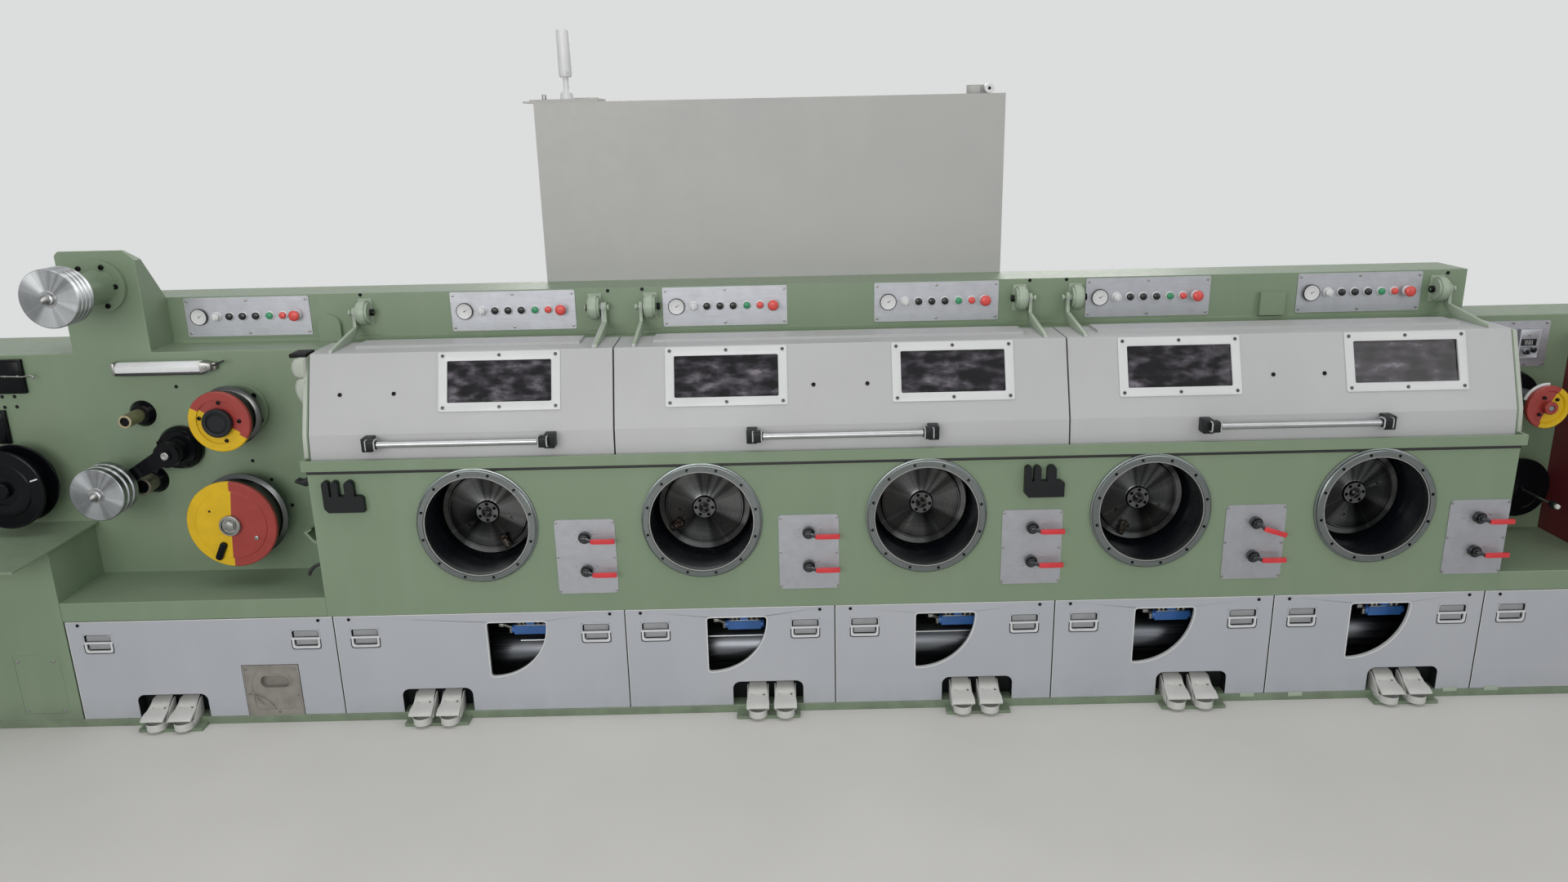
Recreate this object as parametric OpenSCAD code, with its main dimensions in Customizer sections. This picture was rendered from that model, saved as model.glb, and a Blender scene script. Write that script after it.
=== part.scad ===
// Wire drawing machine: five drawing capstans in a row, with a pay-off
// section on the left, a take-up section on the right and three lifting covers.
// Millimetres. +Z is up, the front faces -Y, X runs along the machine.
// The origin is on the floor, under the middle capstan, halfway through the plinth.
// Depths below are measured back from the front plane of the lower panels.

/* [Layout] */
// Distance from one capstan to the next
pitch = 800; // [740:10:900]
// From the first capstan to the left end of the drawing section
body_left = 580; // [560:10:640]
// From the last capstan to the right end of the drawing section
body_right = 490; // [470:10:540]
// Length of the open pay-off section on the left
left_len = 967; // [940:1:1100]
// Length of the block at the far left end
block_len = 550; // [450:10:700]
// Length of the open take-up section on the right
right_len = 800; // [700:10:1000]

/* [Heights] */
// Height of the floor plinth
plinth_h = 31; // [25:1:60]
// Top edge of the lower panels
panel_top = 428; // [410:1:450]
// Top of the open trays
tray_z = 503; // [490:1:530]
// Height of the capstan axes
capstan_z = 769; // [755:1:785]
// Underside of the shelf that the covers close on
shelf_z = 985; // [980:1:1000]
// Height of the shelf's upturned lip
shelf_lip = 39; // [34:1:44]
// Ledge behind the covers
ledge_z = 1365; // [1355:1:1375]
// Top of the control console
console_z = 1541; // [1535:1:1570]
// Top of the sheave tower
tower_z = 1736; // [1710:1:1780]
// Top of the feed block at the far left
feed_z = 709; // [690:1:720]

/* [Depths] */
// Depth of the wall behind the pay-off tray
left_wall_y = 289; // [280:1:300]
// Depth of the wall behind the take-up tray
right_wall_y = 437; // [420:1:450]
// Depth of the wall behind the covers
cover_wall_y = 352; // [352:1:360]
// Depth of the console face
console_y = 455; // [450:1:465]
// Back of the machine
back_y = 657; // [640:1:720]

/* [Capstans] */
// Outside diameter of the bright ring
ring_od = 422; // [410:1:430]
// Clear opening inside the ring
ring_id = 366; // [356:1:372]
// How far the ring stands out from the front
ring_t = 20; // [12:1:26]
// Depth of the round well
well_d = 254; // [250:1:262]
// Diameter of the capstan flanges
capstan_d = 342; // [330:1:346]
// Depth of the capstan's hub face
hub_y = 131; // [120:1:140]

/* [Covers] */
// Gap between neighbouring covers
cover_gap = 6; // [6:1:10]
// Thickness of the cover sheet
cover_t = 4; // [3:1:5]
// Height of the bend across a cover
knee_z = 1104; // [1096:1:1112]
// Depth of a cover's upper front edge
cover_top_y = 139; // [130:1:150]
// Visible pane width
pane_w = 368; // [340:1:380]
// Visible pane height
pane_h = 149; // [135:1:155]
// Width of the frame round a pane
frame_w = 31; // [26:1:34]
// Window centre to the right of its capstan
win_off = 100; // [90:1:110]
// Length over the handle's end brackets
handle_len = 668; // [600:1:720]
// From a cover's end to the middle of its hinge arm
arm_in = 68; // [60:1:80]
// Radius of a hinge lug
lug_r = 45; // [38:1:48]

/* [Fittings] */
// Width of a control plate
plate_w = 470; // [450:1:480]
// Height of a control plate
plate_h = 148; // [140:1:150]
// Width of a valve plate
valve_w = 222; // [200:1:230]
// Height of a valve plate
valve_h = 284; // [270:1:290]
// Valve plate centre to the right of its capstan
valve_off = 380; // [376:1:390]
// Length of a valve lever
lever_len = 110; // [100:1:120]
// Height of the electrical cabinet
cabinet_h = 2215; // [2000:5:2300]
// Width of the electrical cabinet
cabinet_w = 1783; // [1600:1:1900]

/* [Hidden] */
$fn = 72;

// Where the front plane lies in the part's own frame
front = -back_y / 2;

// Capstan positions and the ends of the sections
cap_x = [for (i = [0 : 4]) (i - 2) * pitch];
xl = cap_x[0] - body_left;
xr = cap_x[4] + body_right;
xt = xl - left_len;
x0 = xt - block_len;
x9 = xr + right_len;
rear_y = 300;
deck_z = shelf_z + 23;
lip_z = shelf_z + shelf_lip;

// Lower panels: where one ends and the next begins
seam_off = [503, 471, 476, 478, 449];
seam = concat([xt + 5, cap_x[0] - 563], [for (i = [0 : 4]) cap_x[i] + seam_off[i]], [x9 - 10]);
panel_t = 3;
cut_r = 222;
notch_w = 262;
notch_h = 96;
notch_c = [(seam[0] + seam[1]) / 2 - 148, cap_x[0] - 213, cap_x[1] + 220,
    cap_x[2] + 200, cap_x[3] + 200, cap_x[4] + 190];
cut_off = [-8, 0, -34, -29, -36];
cut_x = [for (i = [0 : 4]) cap_x[i] + cut_off[i]];
cut_z = panel_top - 38;
pull_w = 106;
pull_h = 77;
pull_z = panel_top - 127;
pull_in = 56;
inset_w = 212;
inset_x = seam[1] - 152 - inset_w;
inset_h = 209;

// Covers and their hinge line
cover_top_z = ledge_z + 9;
hinge_y = console_y - 30;
hinge_z = cover_top_z + 98;
cover_off = 505;
cov_seam = [cap_x[0] + cover_off, cap_x[2] + cover_off + 4];
cov_a = [xl + 10, cov_seam[0], cov_seam[1]];
cov_b = [cov_seam[0] - cover_gap, cov_seam[1] - cover_gap, xr - 10];
cov_win = [[0], [1, 2], [3, 4]];
cov_bot_y = 26;
knee_y = 36;
cov_bot_z = deck_z + 6;
cov_rear_y = cover_wall_y - 7;
arm_t = 12;
lug_in = arm_in + 34;
lug_t = 42;
pin_r = 6;
slope = atan2(cover_top_y - knee_y, cover_top_z - knee_z);
win_s = 0.62;
win_y = knee_y + (cover_top_y - knee_y) * win_s;
win_z = knee_z + (cover_top_z - knee_z) * win_s;
pane_back = cover_t * cos(slope) + 4.2;
tube_z = knee_z - 22;
socket_in = 19;

// Axes on the left and right walls: [x, z]
sheave_p = [xl - 769, tower_z - 125];
upper_p = [xl - 329, ledge_z - 221];
lower_p = [xl - 341, ledge_z - 606];
dancer_p = [xl - 576, ledge_z - 360];
dancer_v = [-212, -112];
roller_p = [xl - 703, ledge_z - 230];
roller2_p = [xl - 703, ledge_z - 487];
reel_p = [xt - 193, ledge_z - 464];
rwheel_p = [xr + 224, ledge_z - 305];
rdisc_p = [xr + 292, tray_z + 183];
pulley_r = 110;
pulley_z = deck_z + pulley_r + 2;
gap = 0.3;
cabinet_d = 450;
pulley_y = 214;
guard_x = xr + 424;
guard_t = 8;

module box(a, b) {
    translate([a[0], front + a[1], a[2]])
        cube([b[0] - a[0], b[1] - a[1], b[2] - a[2]]);
}

// A cylinder or cone along X, at depth y and height z
module xcyl(xa, xb, y, z, ra, rb = -1) {
    translate([xa, front + y, z]) rotate([0, 90, 0])
        cylinder(h = xb - xa, r1 = ra, r2 = rb < 0 ? ra : rb);
}

// A cylinder or cone whose axis runs front to back
module ycyl(p, ya, yb, ra, rb = -1) {
    translate([p[0], front + yb, p[1]]) rotate([90, 0, 0])
        cylinder(h = yb - ya, r1 = rb < 0 ? ra : rb, r2 = ra);
}

// A profile in [y, z] drawn out along X
module xprism(xa, xb) {
    translate([xa, front, 0]) rotate([90, 0, 90]) linear_extrude(xb - xa) children();
}

// A profile in [x, z] drawn out along Y
module yprism(ya, yb) {
    translate([0, front + yb, 0]) rotate([90, 0, 0]) linear_extrude(yb - ya) children();
}

// A profile in [r, y] turned about the axis through p; y grows to the back
module turned(p) {
    translate([p[0], front, p[1]]) rotate([-90, 0, 0]) rotate_extrude() children();
}

module slab2(w, h, r) {
    union() {
        translate([-w / 2 + r, -h / 2]) square([w - 2 * r, h]);
        translate([-w / 2, -h / 2 + r]) square([w, h - 2 * r]);
        for (sx = [-1, 1], sz = [-1, 1])
            translate([sx * (w / 2 - r), sz * (h / 2 - r)]) circle(r = r);
    }
}

// ---- fixed structure ----

// Base frame, toe plates and the posts behind the panel seams
module plinth() color("#7d917b") {
    box([x0, 0, 0], [x9, back_y, plinth_h]);
    for (x = notch_c) box([x - 118, -52, 0], [x + 118, -gap, 12]);
    for (i = [0 : 7]) box([seam[i] - (i == 0 ? 0 : 20), panel_t + gap, plinth_h + gap],
        [seam[i] + (i == 7 ? 0 : 20), panel_t + 30, panel_top - gap]);
}

module main_body() color("#7d917b") {
    xprism(xl, xr) polygon([[rear_y, plinth_h], [back_y, plinth_h],
        [back_y, ledge_z], [cover_wall_y, ledge_z], [cover_wall_y, shelf_z],
        [rear_y, shelf_z]]);
}

module left_housing() color("#7d917b") {
    union() {
        xprism(x0, xl) polygon([[left_wall_y, plinth_h], [back_y, plinth_h],
            [back_y, ledge_z], [left_wall_y, ledge_z]]);
        intersection() {
            yprism(left_wall_y, back_y) polygon([[sheave_p[0] - 149, ledge_z - 1],
                [sheave_p[0] - 149, tower_z - 14], [sheave_p[0] - 135, tower_z],
                [sheave_p[0] + 96, tower_z], [sheave_p[0] + 137, tower_z - 34],
                [sheave_p[0] + 137, ledge_z - 1]]);
            xprism(x0, xl) polygon([[left_wall_y, ledge_z - 1],
                [left_wall_y, tower_z], [left_wall_y + 14, tower_z],
                [console_y, console_z], [back_y, console_z],
                [back_y, ledge_z - 1]]);
        }
    }
}

module right_housing() color("#7d917b") {
    box([xr, right_wall_y, plinth_h], [x9, back_y, ledge_z]);
}

module console() color("#7d917b") {
    union() {
        xprism(sheave_p[0] + 137, xr) polygon([[console_y - 8, ledge_z],
            [back_y, ledge_z], [back_y, console_z], [console_y, console_z],
            [console_y, ledge_z + 16], [console_y - 8, ledge_z + 14]]);
        box([cap_x[3] + 509, console_y - 22, ledge_z + 20],
            [cap_x[3] + 604, console_y + 1, ledge_z + 106]);
        yprism(console_y - 18, console_y + 1) union() {
            translate([xl - 30, ledge_z + 57]) circle(r = 43);
            translate([xl - 73, ledge_z]) square([86, 57]);
        }
    }
}

module front_housing() color("#7d917b") {
    difference() {
        union() {
            box([xl, 0, panel_top], [xr, rear_y, shelf_z]);
            yprism(70, 150) polygon([[xl + 1, 668], [xl - 46, 690], [xl - 74, 730],
                [xl - 46, 744], [xl - 46, 738], [xl - 62, 728], [xl - 40, 700],
                [xl + 1, 682]]);
        }
        for (x = cap_x)
            ycyl([x, capstan_z], -1, well_d + 4.5, ring_id / 2 + 4.3);
    }
}

module capstan_wells() color("#9a9d9f") {
    for (x = cap_x) turned([x, capstan_z]) polygon([
        [ring_id / 2, -ring_t + 3], [ring_id / 2 + 3, -ring_t],
        [ring_od / 2 - 4, -ring_t], [ring_od / 2, -ring_t + 4],
        [ring_od / 2, -7], [ring_od / 2 + 5, -6], [ring_od / 2 + 5, 0],
        [ring_id / 2 + 4, 0], [ring_id / 2 + 4, well_d + 4], [0, well_d + 4],
        [0, well_d], [ring_id / 2, well_d]]);
}

// Deck, upturned front strip, end strips and the walls at the covers' ends
module cover_shelf() color("#7d917b") {
    box([xl, -6 + gap, shelf_z], [xr, cover_wall_y - gap, deck_z]);
    box([xl - 13, -14, shelf_z], [xr + 13, -6, lip_z]);
    box([xl - 13, -6 + gap, shelf_z], [xl - gap, left_wall_y - gap, lip_z]);
    box([xr + gap, -6 + gap, shelf_z], [xr + 13, right_wall_y - gap, lip_z]);
    for (x = [xl, xr - 5]) xprism(x, x + 5) polygon([[30, deck_z + gap],
        [41, knee_z], [cover_top_y + 4, cover_top_z - 6],
        [cover_wall_y - gap, cover_top_z - 6], [cover_wall_y - gap, deck_z + gap]]);
}

module left_tray() color("#7d917b") {
    difference() {
        box([xt, 0, panel_top], [xl, left_wall_y, tray_z]);
        box([xt + 8, 12, panel_top - 1], [xl - 8, left_wall_y + 1, tray_z - 10]);
    }
}

module right_bench() color("#7d917b") {
    union() {
        difference() {
            box([xr, 0, panel_top], [x9, right_wall_y, tray_z]);
            box([xr + 8, 12, panel_top - 1], [x9 - 8, right_wall_y + 1, tray_z - 10]);
        }
        box([x9 - 8, 0, plinth_h], [x9, right_wall_y, panel_top + 1]);
    }
}

module feed_block() color("#7d917b") {
    union() {
        box([x0, 0, plinth_h], [xt, left_wall_y, feed_z]);
        box([x0, -218, feed_z - 1], [xt + 18, left_wall_y, feed_z + 7]);
        box([xt - 210, -1.5, plinth_h + 29], [xt - 42, 0, panel_top - 128]);
    }
}

// ---- lower panels and what shows behind them ----

// Quarter-round look-in, corner at the top left, with rounded corners
module quarter_cut(r, c) {
    translate([c, -c]) intersection() {
        circle(r = r - c);
        translate([0, -r]) square([r, r]);
    }
    translate([0, -(r - c)]) square([c, r - 2 * c]);
    translate([c, -c]) square([r - 2 * c, c]);
    translate([c, -c]) circle(r = c);
    translate([r - c, -c]) circle(r = c);
    translate([c, -(r - c)]) circle(r = c);
}

module notch2(w, h, c) {
    translate([-w / 2, -1]) square([w, h - c + 1]);
    translate([-w / 2 + c, 0]) square([w - 2 * c, h]);
    for (s = [-1, 1]) translate([s * (w / 2 - c), h - c]) circle(r = c);
}

module lower_panels() color("#c3c8d0") {
    yprism(0, panel_t) difference() {
        for (i = [0 : 6]) translate([seam[i] + 1, plinth_h + 1])
            square([seam[i + 1] - seam[i] - 2, panel_top - plinth_h - 2]);
        for (x = cut_x) translate([x, cut_z]) quarter_cut(cut_r, 12);
        for (x = notch_c) translate([x, plinth_h]) notch2(notch_w, notch_h, 28);
        for (i = [0 : 6], s = [0, 1])
            translate([(s == 0 ? seam[i] + pull_in : seam[i + 1] - pull_in - pull_w), pull_z])
                square([pull_w, pull_h]);
        translate([inset_x, plinth_h]) square([inset_w, inset_h]);
    }
}

// One flush pull: an open slot over a framed pocket
module pull_cup() {
    difference() {
        box([0.3, -2, 0.3], [pull_w - 0.3, 24, pull_h - 0.3]);
        box([3, -3, 51], [pull_w - 3, 20, pull_h - 2]);
        box([10, -3, 15], [pull_w - 10, 14, 37]);
        box([0, -3, 42], [pull_w, 1, 44]);
    }
}

module panel_pulls() color("#d3d4d4") {
    for (i = [0 : 6], s = [0, 1])
        translate([(s == 0 ? seam[i] + pull_in : seam[i + 1] - pull_in - pull_w), 0, pull_z])
            pull_cup();
}

// A foot switch: base with a rounded toe, and a folded tread that flares forward
module foot_switch() {
    difference() {
        union() {
            intersection() {
                xprism(-40, 40) polygon([[-90, 12], [-1, 12], [-1, plinth_h + gap],
                    [40, plinth_h + gap], [40, 96], [-30, 60], [-90, 50]]);
                linear_extrude(120) {
                    translate([0, front - 42]) circle(r = 36);
                    translate([-36, front - 42]) square([72, 82]);
                }
            }
            intersection() {
                xprism(-60, 60) polygon([[-72, 54], [-70, 48], [0, 74], [40, 96],
                    [40, 110], [4, 92], [-66, 64], [-72, 60]]);
                linear_extrude(120) translate([0, front]) polygon([[-33, 40], [-47, -60],
                    [-45, -70], [-38, -74], [38, -74], [45, -70], [47, -60], [33, 40]]);
            }
        }
        translate([24, front - 6, 60]) cylinder(h = 60, r = 5);
    }
}

module foot_switches() color("#d9dad6") {
    for (x = notch_c, s = [-1, 1]) translate([x + s * 49, 0, 0]) foot_switch();
}

module coolant_pipe() color("#141517") {
    r = 105;
    z = plinth_h + 164;
    xcyl(cap_x[0] - 170, cap_x[4] + 310, 190, z, r);
    for (x = concat([for (x = cap_x) x - 115], [cap_x[4] + 285]))
        box([x - 15, 150, plinth_h], [x + 15, 230, z - r - gap]);
}

module blue_valves() color("#2d5f9a") {
    for (x = cap_x) union() {
        z = panel_top - 107;
        box([x + 74, 76, z - 17], [x + 198, 104, z + 17]);
        xcyl(x + 64, x + 76, 90, z, 15);
        xcyl(x + 196, x + 208, 90, z, 15);
        box([x + 120, 78, z], [x + 150, 102, panel_top]);
    }
}

module inset_box() color("#9b9891") {
    difference() {
        box([inset_x + 2, 0, plinth_h], [inset_x + inset_w - 2, 70,
            plinth_h + inset_h - 2]);
        yprism(-1, 22) translate([inset_x + 118, plinth_h + 140]) slab2(112, 52, 24);
        yprism(-1, 3) translate([inset_x + 106, plinth_h + 60]) slab2(150, 70, 20);
    }
}

// ---- console and front fittings ----

// A rounded lug on the console; the arm hangs outside it on one long pin
module hinge_bracket(x, side) {
    lug_x = x - side * (lug_in - arm_in);
    difference() {
        union() {
            xprism(lug_x - lug_t / 2 + 8, lug_x + lug_t / 2 - 8) lug_shape(lug_r);
            xprism(lug_x - lug_t / 2, lug_x + lug_t / 2) lug_shape(lug_r - 7);
            box([lug_x - lug_t / 2 - 4, console_y - 6, hinge_z - lug_r - 3],
                [lug_x + lug_t / 2 + 4, console_y, hinge_z + lug_r + 3]);
        }
        box([min(x, lug_x) - 90, console_y, hinge_z - 90],
            [max(x, lug_x) + 90, console_y + 40, hinge_z + 90]);
    }
    ends = [x + side * (arm_t / 2 + 12), lug_x - side * (lug_t / 2 + 10)];
    xcyl(min(ends), max(ends), hinge_y, hinge_z, pin_r);
    for (e = ends) xcyl(e - 4, e + 4, hinge_y, hinge_z, 11);
    spacer = [x - side * (arm_t / 2 + 1), lug_x + side * (lug_t / 2 - 1)];
    xcyl(min(spacer), max(spacer), hinge_y, hinge_z, 12);
}

module lug_shape(r) {
    translate([hinge_y, hinge_z]) circle(r = r);
    translate([hinge_y, hinge_z - r + 9]) square([console_y - hinge_y, 2 * r - 18]);
}

module hinge_brackets() color("#8b9d89") {
    for (i = [0 : 2]) {
        union() hinge_bracket(cov_a[i] + arm_in, -1);
        union() hinge_bracket(cov_b[i] - arm_in, 1);
    }
}

plate_x = concat([cap_x[0] - 915], [for (x = cap_x) x + 87]);
plate_z = (ledge_z + 16 + console_z) / 2 + 2;

module control_plates() color("#b9bcbe") {
    for (x = plate_x) yprism(console_y - 3, console_y)
        translate([x, plate_z]) slab2(plate_w, plate_h, 6);
}

// A round control on the console face: bezel, then cap
module knob(x, rb, rc, out, dome) {
    turned([x, plate_z + 2]) polygon([[0, console_y - 3 - out],
        [rc - dome, console_y - 3 - out], [rc, console_y - 3 - out + dome],
        [rc, console_y - 9], [rb, console_y - 8], [rb, console_y - 3],
        [0, console_y - 3]]);
}

module control_buttons() color("#3a3c3e") {
    for (x = plate_x, k = [0 : 7]) {
        u = x + plate_w * ([0.111, 0.248, 0.355, 0.461, 0.567, 0.677, 0.782, 0.888][k] - 0.5);
        if (k == 0) knob(u, 30, 27, 12, 1);
        else if (k == 1) knob(u, 15, 13, 30, 2);
        else if (k == 7) knob(u, 16, 20, 34, 5);
        else knob(u, 15, 11, 16, 2);
    }
}

module tool_holder(x) {
    translate([x, 0, capstan_z + 67]) yprism(-26, 0) union() {
        polygon([[14, 0], [140, 0], [140, 52], [128, 60], [0, 60], [0, 16]]);
        for (u = [[0, 24], [32, 24], [78, 32]]) {
            translate([u[0], 50]) square([u[1], 66 - u[1] / 2]);
            translate([u[0] + u[1] / 2, 116 - u[1] / 2]) circle(r = u[1] / 2);
        }
    }
}

module tool_holders() color("#202422") {
    tool_holder(xl + 54);
    tool_holder(cap_x[2] + 343);
}

valve_z = tray_z + 138;
stem_dz = [77, -51];

module valve_plates() color("#a9acad") {
    for (x = cap_x) difference() {
        union() {
            yprism(-3, 0) translate([x + valve_off, valve_z])
                slab2(min(valve_w, 2 * (xr - cap_x[4] - valve_off) - 4), valve_h, 14);
            for (dz = stem_dz) ycyl([x + valve_off - 1, valve_z + dz], -20, -2, 21);
        }
        for (dz = stem_dz) ycyl([x + valve_off - 1, valve_z + dz], -21, -8, 16);
    }
}

// How far each lever hangs below level at rest, in degrees
function droop(i, k) = i == 3 && k == 0 ? 18 : 0;

// A quarter-turn lever: spindle nut, cranked flat and a thick sleeve
module valve_lever(i, k) color("#c8352b") {
    p = [cap_x[i] + valve_off - 1, valve_z + stem_dz[k]];
    translate([p[0], 0, p[1]]) rotate([0, droop(i, k), 0]) union() {
        ycyl([0, 0], -52, -8 - gap, 11);
        ycyl([0, 0], -40, -30, 15);
        yprism(-38, -33) polygon([[-10, -8], [14, -9], [28, -13], [lever_len - 60, -13],
            [lever_len - 60, 3], [30, 3], [16, 8], [-10, 8]]);
        xprism(28, lever_len - 8) translate([-35.5, -5]) slab2(13, 19, 6.2);
        xprism(lever_len - 9, lever_len) translate([-35.5, -5]) slab2(9, 14, 4.2);
    }
}

// ---- wall fixtures ----

module wheel_flanges() color("#7d917b") {
    union() {
        ycyl(sheave_p, left_wall_y - 20, left_wall_y, 94);
        ycyl(sheave_p, left_wall_y - 204, left_wall_y - 19, 46, 62);
    }
    ycyl(upper_p, left_wall_y - 20, left_wall_y, 97);
    ycyl(lower_p, left_wall_y - 20, left_wall_y, 96);
}

module spindle_discs() color("#17181a") {
    union() {
        ycyl(dancer_p, left_wall_y - 54, left_wall_y - 20, 70, 82);
        ycyl(dancer_p, left_wall_y - 21, left_wall_y, 82);
    }
    union() {
        ycyl(roller_p, left_wall_y - 24, left_wall_y, 34, 50);
        ycyl(roller_p, left_wall_y - 115, left_wall_y - 23, 22);
    }
    union() {
        ycyl(roller2_p, left_wall_y - 24, left_wall_y, 38, 53);
        ycyl(roller2_p, left_wall_y - 86, left_wall_y - 23, 30);
    }
    ycyl(reel_p, left_wall_y - 40, left_wall_y, 60, 90);
    ycyl(rwheel_p, right_wall_y - 37, right_wall_y, 84, 92);
    ycyl(rdisc_p, right_wall_y - 22, right_wall_y, 60);
}

module lamp_bar() color("#d9dbdd") {
    union() {
        z = ledge_z - 75;
        xprism(sheave_p[0] - 4, sheave_p[0] + 334) polygon([
            [left_wall_y - 46, z], [left_wall_y - 8, z], [left_wall_y - 8, z + 44],
            [left_wall_y - 30, z + 44], [left_wall_y - 46, z + 30]]);
        box([sheave_p[0] - 10, left_wall_y - 48, z - 2],
            [sheave_p[0] - 3, left_wall_y - 6, z + 46]);
        box([sheave_p[0] + 333, left_wall_y - 48, z - 2],
            [sheave_p[0] + 345, left_wall_y - 6, z + 46]);
        for (x = [40, 270]) box([sheave_p[0] + x, left_wall_y - 20, z + 6],
            [sheave_p[0] + x + 24, left_wall_y, z + 38]);
    }
}

module sensor_boxes() color("#1b1d1f") {
    union() {
        box([xt - 280, left_wall_y - 70, ledge_z - 142],
            [xt - 138, left_wall_y, ledge_z - 14]);
        xcyl(xt - 139, xt - 73, left_wall_y - 40, ledge_z - 81, 3);
    }
    box([xt - 340, left_wall_y - 60, ledge_z - 329],
        [xt - 232, left_wall_y, ledge_z - 209]);
}

module electrical_cabinet() color("#d4d6d6") {
    cx = cap_x[0] + 182;
    union() {
        box([cx, back_y + gap, 0], [cx + cabinet_w, back_y + cabinet_d, cabinet_h]);
        box([cx - 20, back_y + 30, cabinet_h - 1], [cx + 240, back_y + 230, cabinet_h + 12]);
        translate([cx + 118, front + back_y + 60, cabinet_h]) {
            cylinder(h = 100, r = 9);
            translate([0, 0, 92]) cylinder(h = 168, r = 21);
            translate([0, 0, 10]) cylinder(h = 10, r = 24);
        }
        translate([cx + cabinet_w - 90, front + back_y + 120, cabinet_h - 1])
            cylinder(h = 34, r = 40);
    }
}

module counter_plate() color("#b9bcbe") {
    z = ledge_z - 112;
    union() {
        yprism(right_wall_y - 3, right_wall_y)
            translate([xr + 193, z]) slab2(286, 178, 6);
        box([xr + 218, right_wall_y - 16, z - 53], [xr + 296, right_wall_y - 2, z + 59]);
        ycyl([xr + 244, z - 21], right_wall_y - 26, right_wall_y - 15, 9);
        ycyl([xr + 274, z - 13], right_wall_y - 26, right_wall_y - 15, 6);
    }
}

module red_guard() color("#5a1c20") {
    top = ledge_z - 65;
    x = guard_x + guard_t;
    box([guard_x, 60, tray_z], [x, right_wall_y - gap, top]);
    box([x + gap, right_wall_y - 30, tray_z], [x + 18, right_wall_y, top]);
}

module bay_pulleys() color("#8d9092") {
    r = pulley_r;
    y = pulley_y;
    for (x = cap_x) turned([x - 20, pulley_z]) polygon([[0, y], [22, y], [22, y + 12],
        [r - 16, y + 12], [r, y + 16], [r, y + 22], [r - 14, y + 32], [r, y + 42],
        [r, y + 48], [40, y + 52], [32, cover_wall_y], [0, cover_wall_y]]);
}

// ---- what turns ----

// Coned drawing capstan between two flanges, with a stepped face and a hub
module capstan(i) color("#6d6a66") {
    r = capstan_d / 2;
    turned([cap_x[i], capstan_z]) polygon([[0, hub_y], [12, hub_y], [14, hub_y + 2],
        [14, hub_y + 9], [40, hub_y + 9], [42, hub_y + 11], [42, hub_y + 18],
        [46, hub_y + 21], [r - 34, hub_y + 21], [r - 32, hub_y + 18], [r - 28, hub_y + 18],
        [r - 24, hub_y + 22], [r - 22, hub_y + 30], [r - 3, hub_y + 33],
        [r, hub_y + 36], [r, hub_y + 44], [r - 20, hub_y + 52],
        [r - 26, well_d - 28], [r, well_d - 20], [r, well_d - 8],
        [r - 4, well_d - 6], [42, well_d - 6], [40, well_d - gap],
        [0, well_d - gap]]);
}

// Grooved sheave: discs with round-bottomed grooves between them
module sheave(p, ya, yb, r, n, back) {
    w = (yb - ya) / n;
    difference() {
        union() {
            turned(p) polygon([[0, ya - 34], [4, ya - 34], [15, ya - 16], [22, ya - 12],
                [22, ya], [r - 3, ya], [r, ya + 3], [r, yb - 3], [r - 3, yb],
                [34, yb], [30, back], [0, back]]);
        }
        for (k = [1 : n - 1]) turned(p) translate([r, ya + k * w]) circle(r = w * 0.26);
    }
}

module top_sheave() color("#c8cacc") {
    sheave(sheave_p, -15, 75, 100, 4, left_wall_y - 204 - gap);
}

module dancer_arm() color("#1a1b1d") {
    p = dancer_p;
    q = p + dancer_v;
    len = norm(dancer_v);
    ang = atan2(dancer_v[1], dancer_v[0]);
    y0 = left_wall_y - 121;
    union() {
        ycyl(p, y0 - 6, left_wall_y - 54 - gap, 46);
        ycyl(p, y0 - 14, y0 - 5, 15);
        yprism(y0, y0 + 26) translate([p[0], p[1]]) rotate(ang)
            polygon([[0, -34], [len * 0.55, -24], [len, -22], [len, 22],
                [len * 0.55, 24], [0, 34]]);
        ycyl(q, y0, y0 + 26, 30);
    }
}

module dancer_sheave() color("#c8cacc") {
    q = dancer_p + dancer_v;
    sheave(q, left_wall_y - 232, left_wall_y - 132, 97, 3, left_wall_y - 121 - gap);
}

// Wire wheel: thin coloured disc, steel barrel and a back flange
module wheel(p, ya, r, hub_r, hub_out, yb, back) {
    turned(p) polygon([[0, ya - hub_out], [hub_r - 4, ya - hub_out],
        [hub_r, ya - hub_out + 4], [hub_r, ya + 4], [r * 0.78, ya + 4],
        [r * 0.8, ya], [r - 3, ya], [r, ya + 3], [r, ya + 16], [r - 14, ya + 20],
        [r - 16, yb - 18], [r, yb - 12], [r, yb - 2], [r - 2, yb], [46, yb],
        [42, back], [0, back]]);
}

module upper_wheel() color("#b0473f") {
    wheel(upper_p, 98, 110, 52, 22, 200, left_wall_y - 20 - gap);
}

module lower_wheel() color("#cfb010") {
    wheel(lower_p, 90, 163, 38, 20, 203, left_wall_y - 20 - gap);
}

// Reel: two thin discs on a drum
module left_reel() color("#141517") {
    turned(reel_p) polygon([[0, 98], [26, 98], [30, 102], [30, 118], [146, 118],
        [148, 120], [148, 126], [146, 128], [112, 128], [112, 200], [146, 200],
        [148, 202], [148, 208], [146, 210], [50, 212],
        [46, left_wall_y - 40 - gap], [0, left_wall_y - 40 - gap]]);
}

module right_wheel() color("#b0473f") {
    turned(rwheel_p) polygon([[0, 190], [20, 190], [22, 193], [22, 213], [56, 215],
        [62, 209], [78, 209], [80, 212], [80, 226], [72, 232], [40, 236],
        [34, right_wall_y - 37 - gap], [0, right_wall_y - 37 - gap]]);
}

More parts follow.
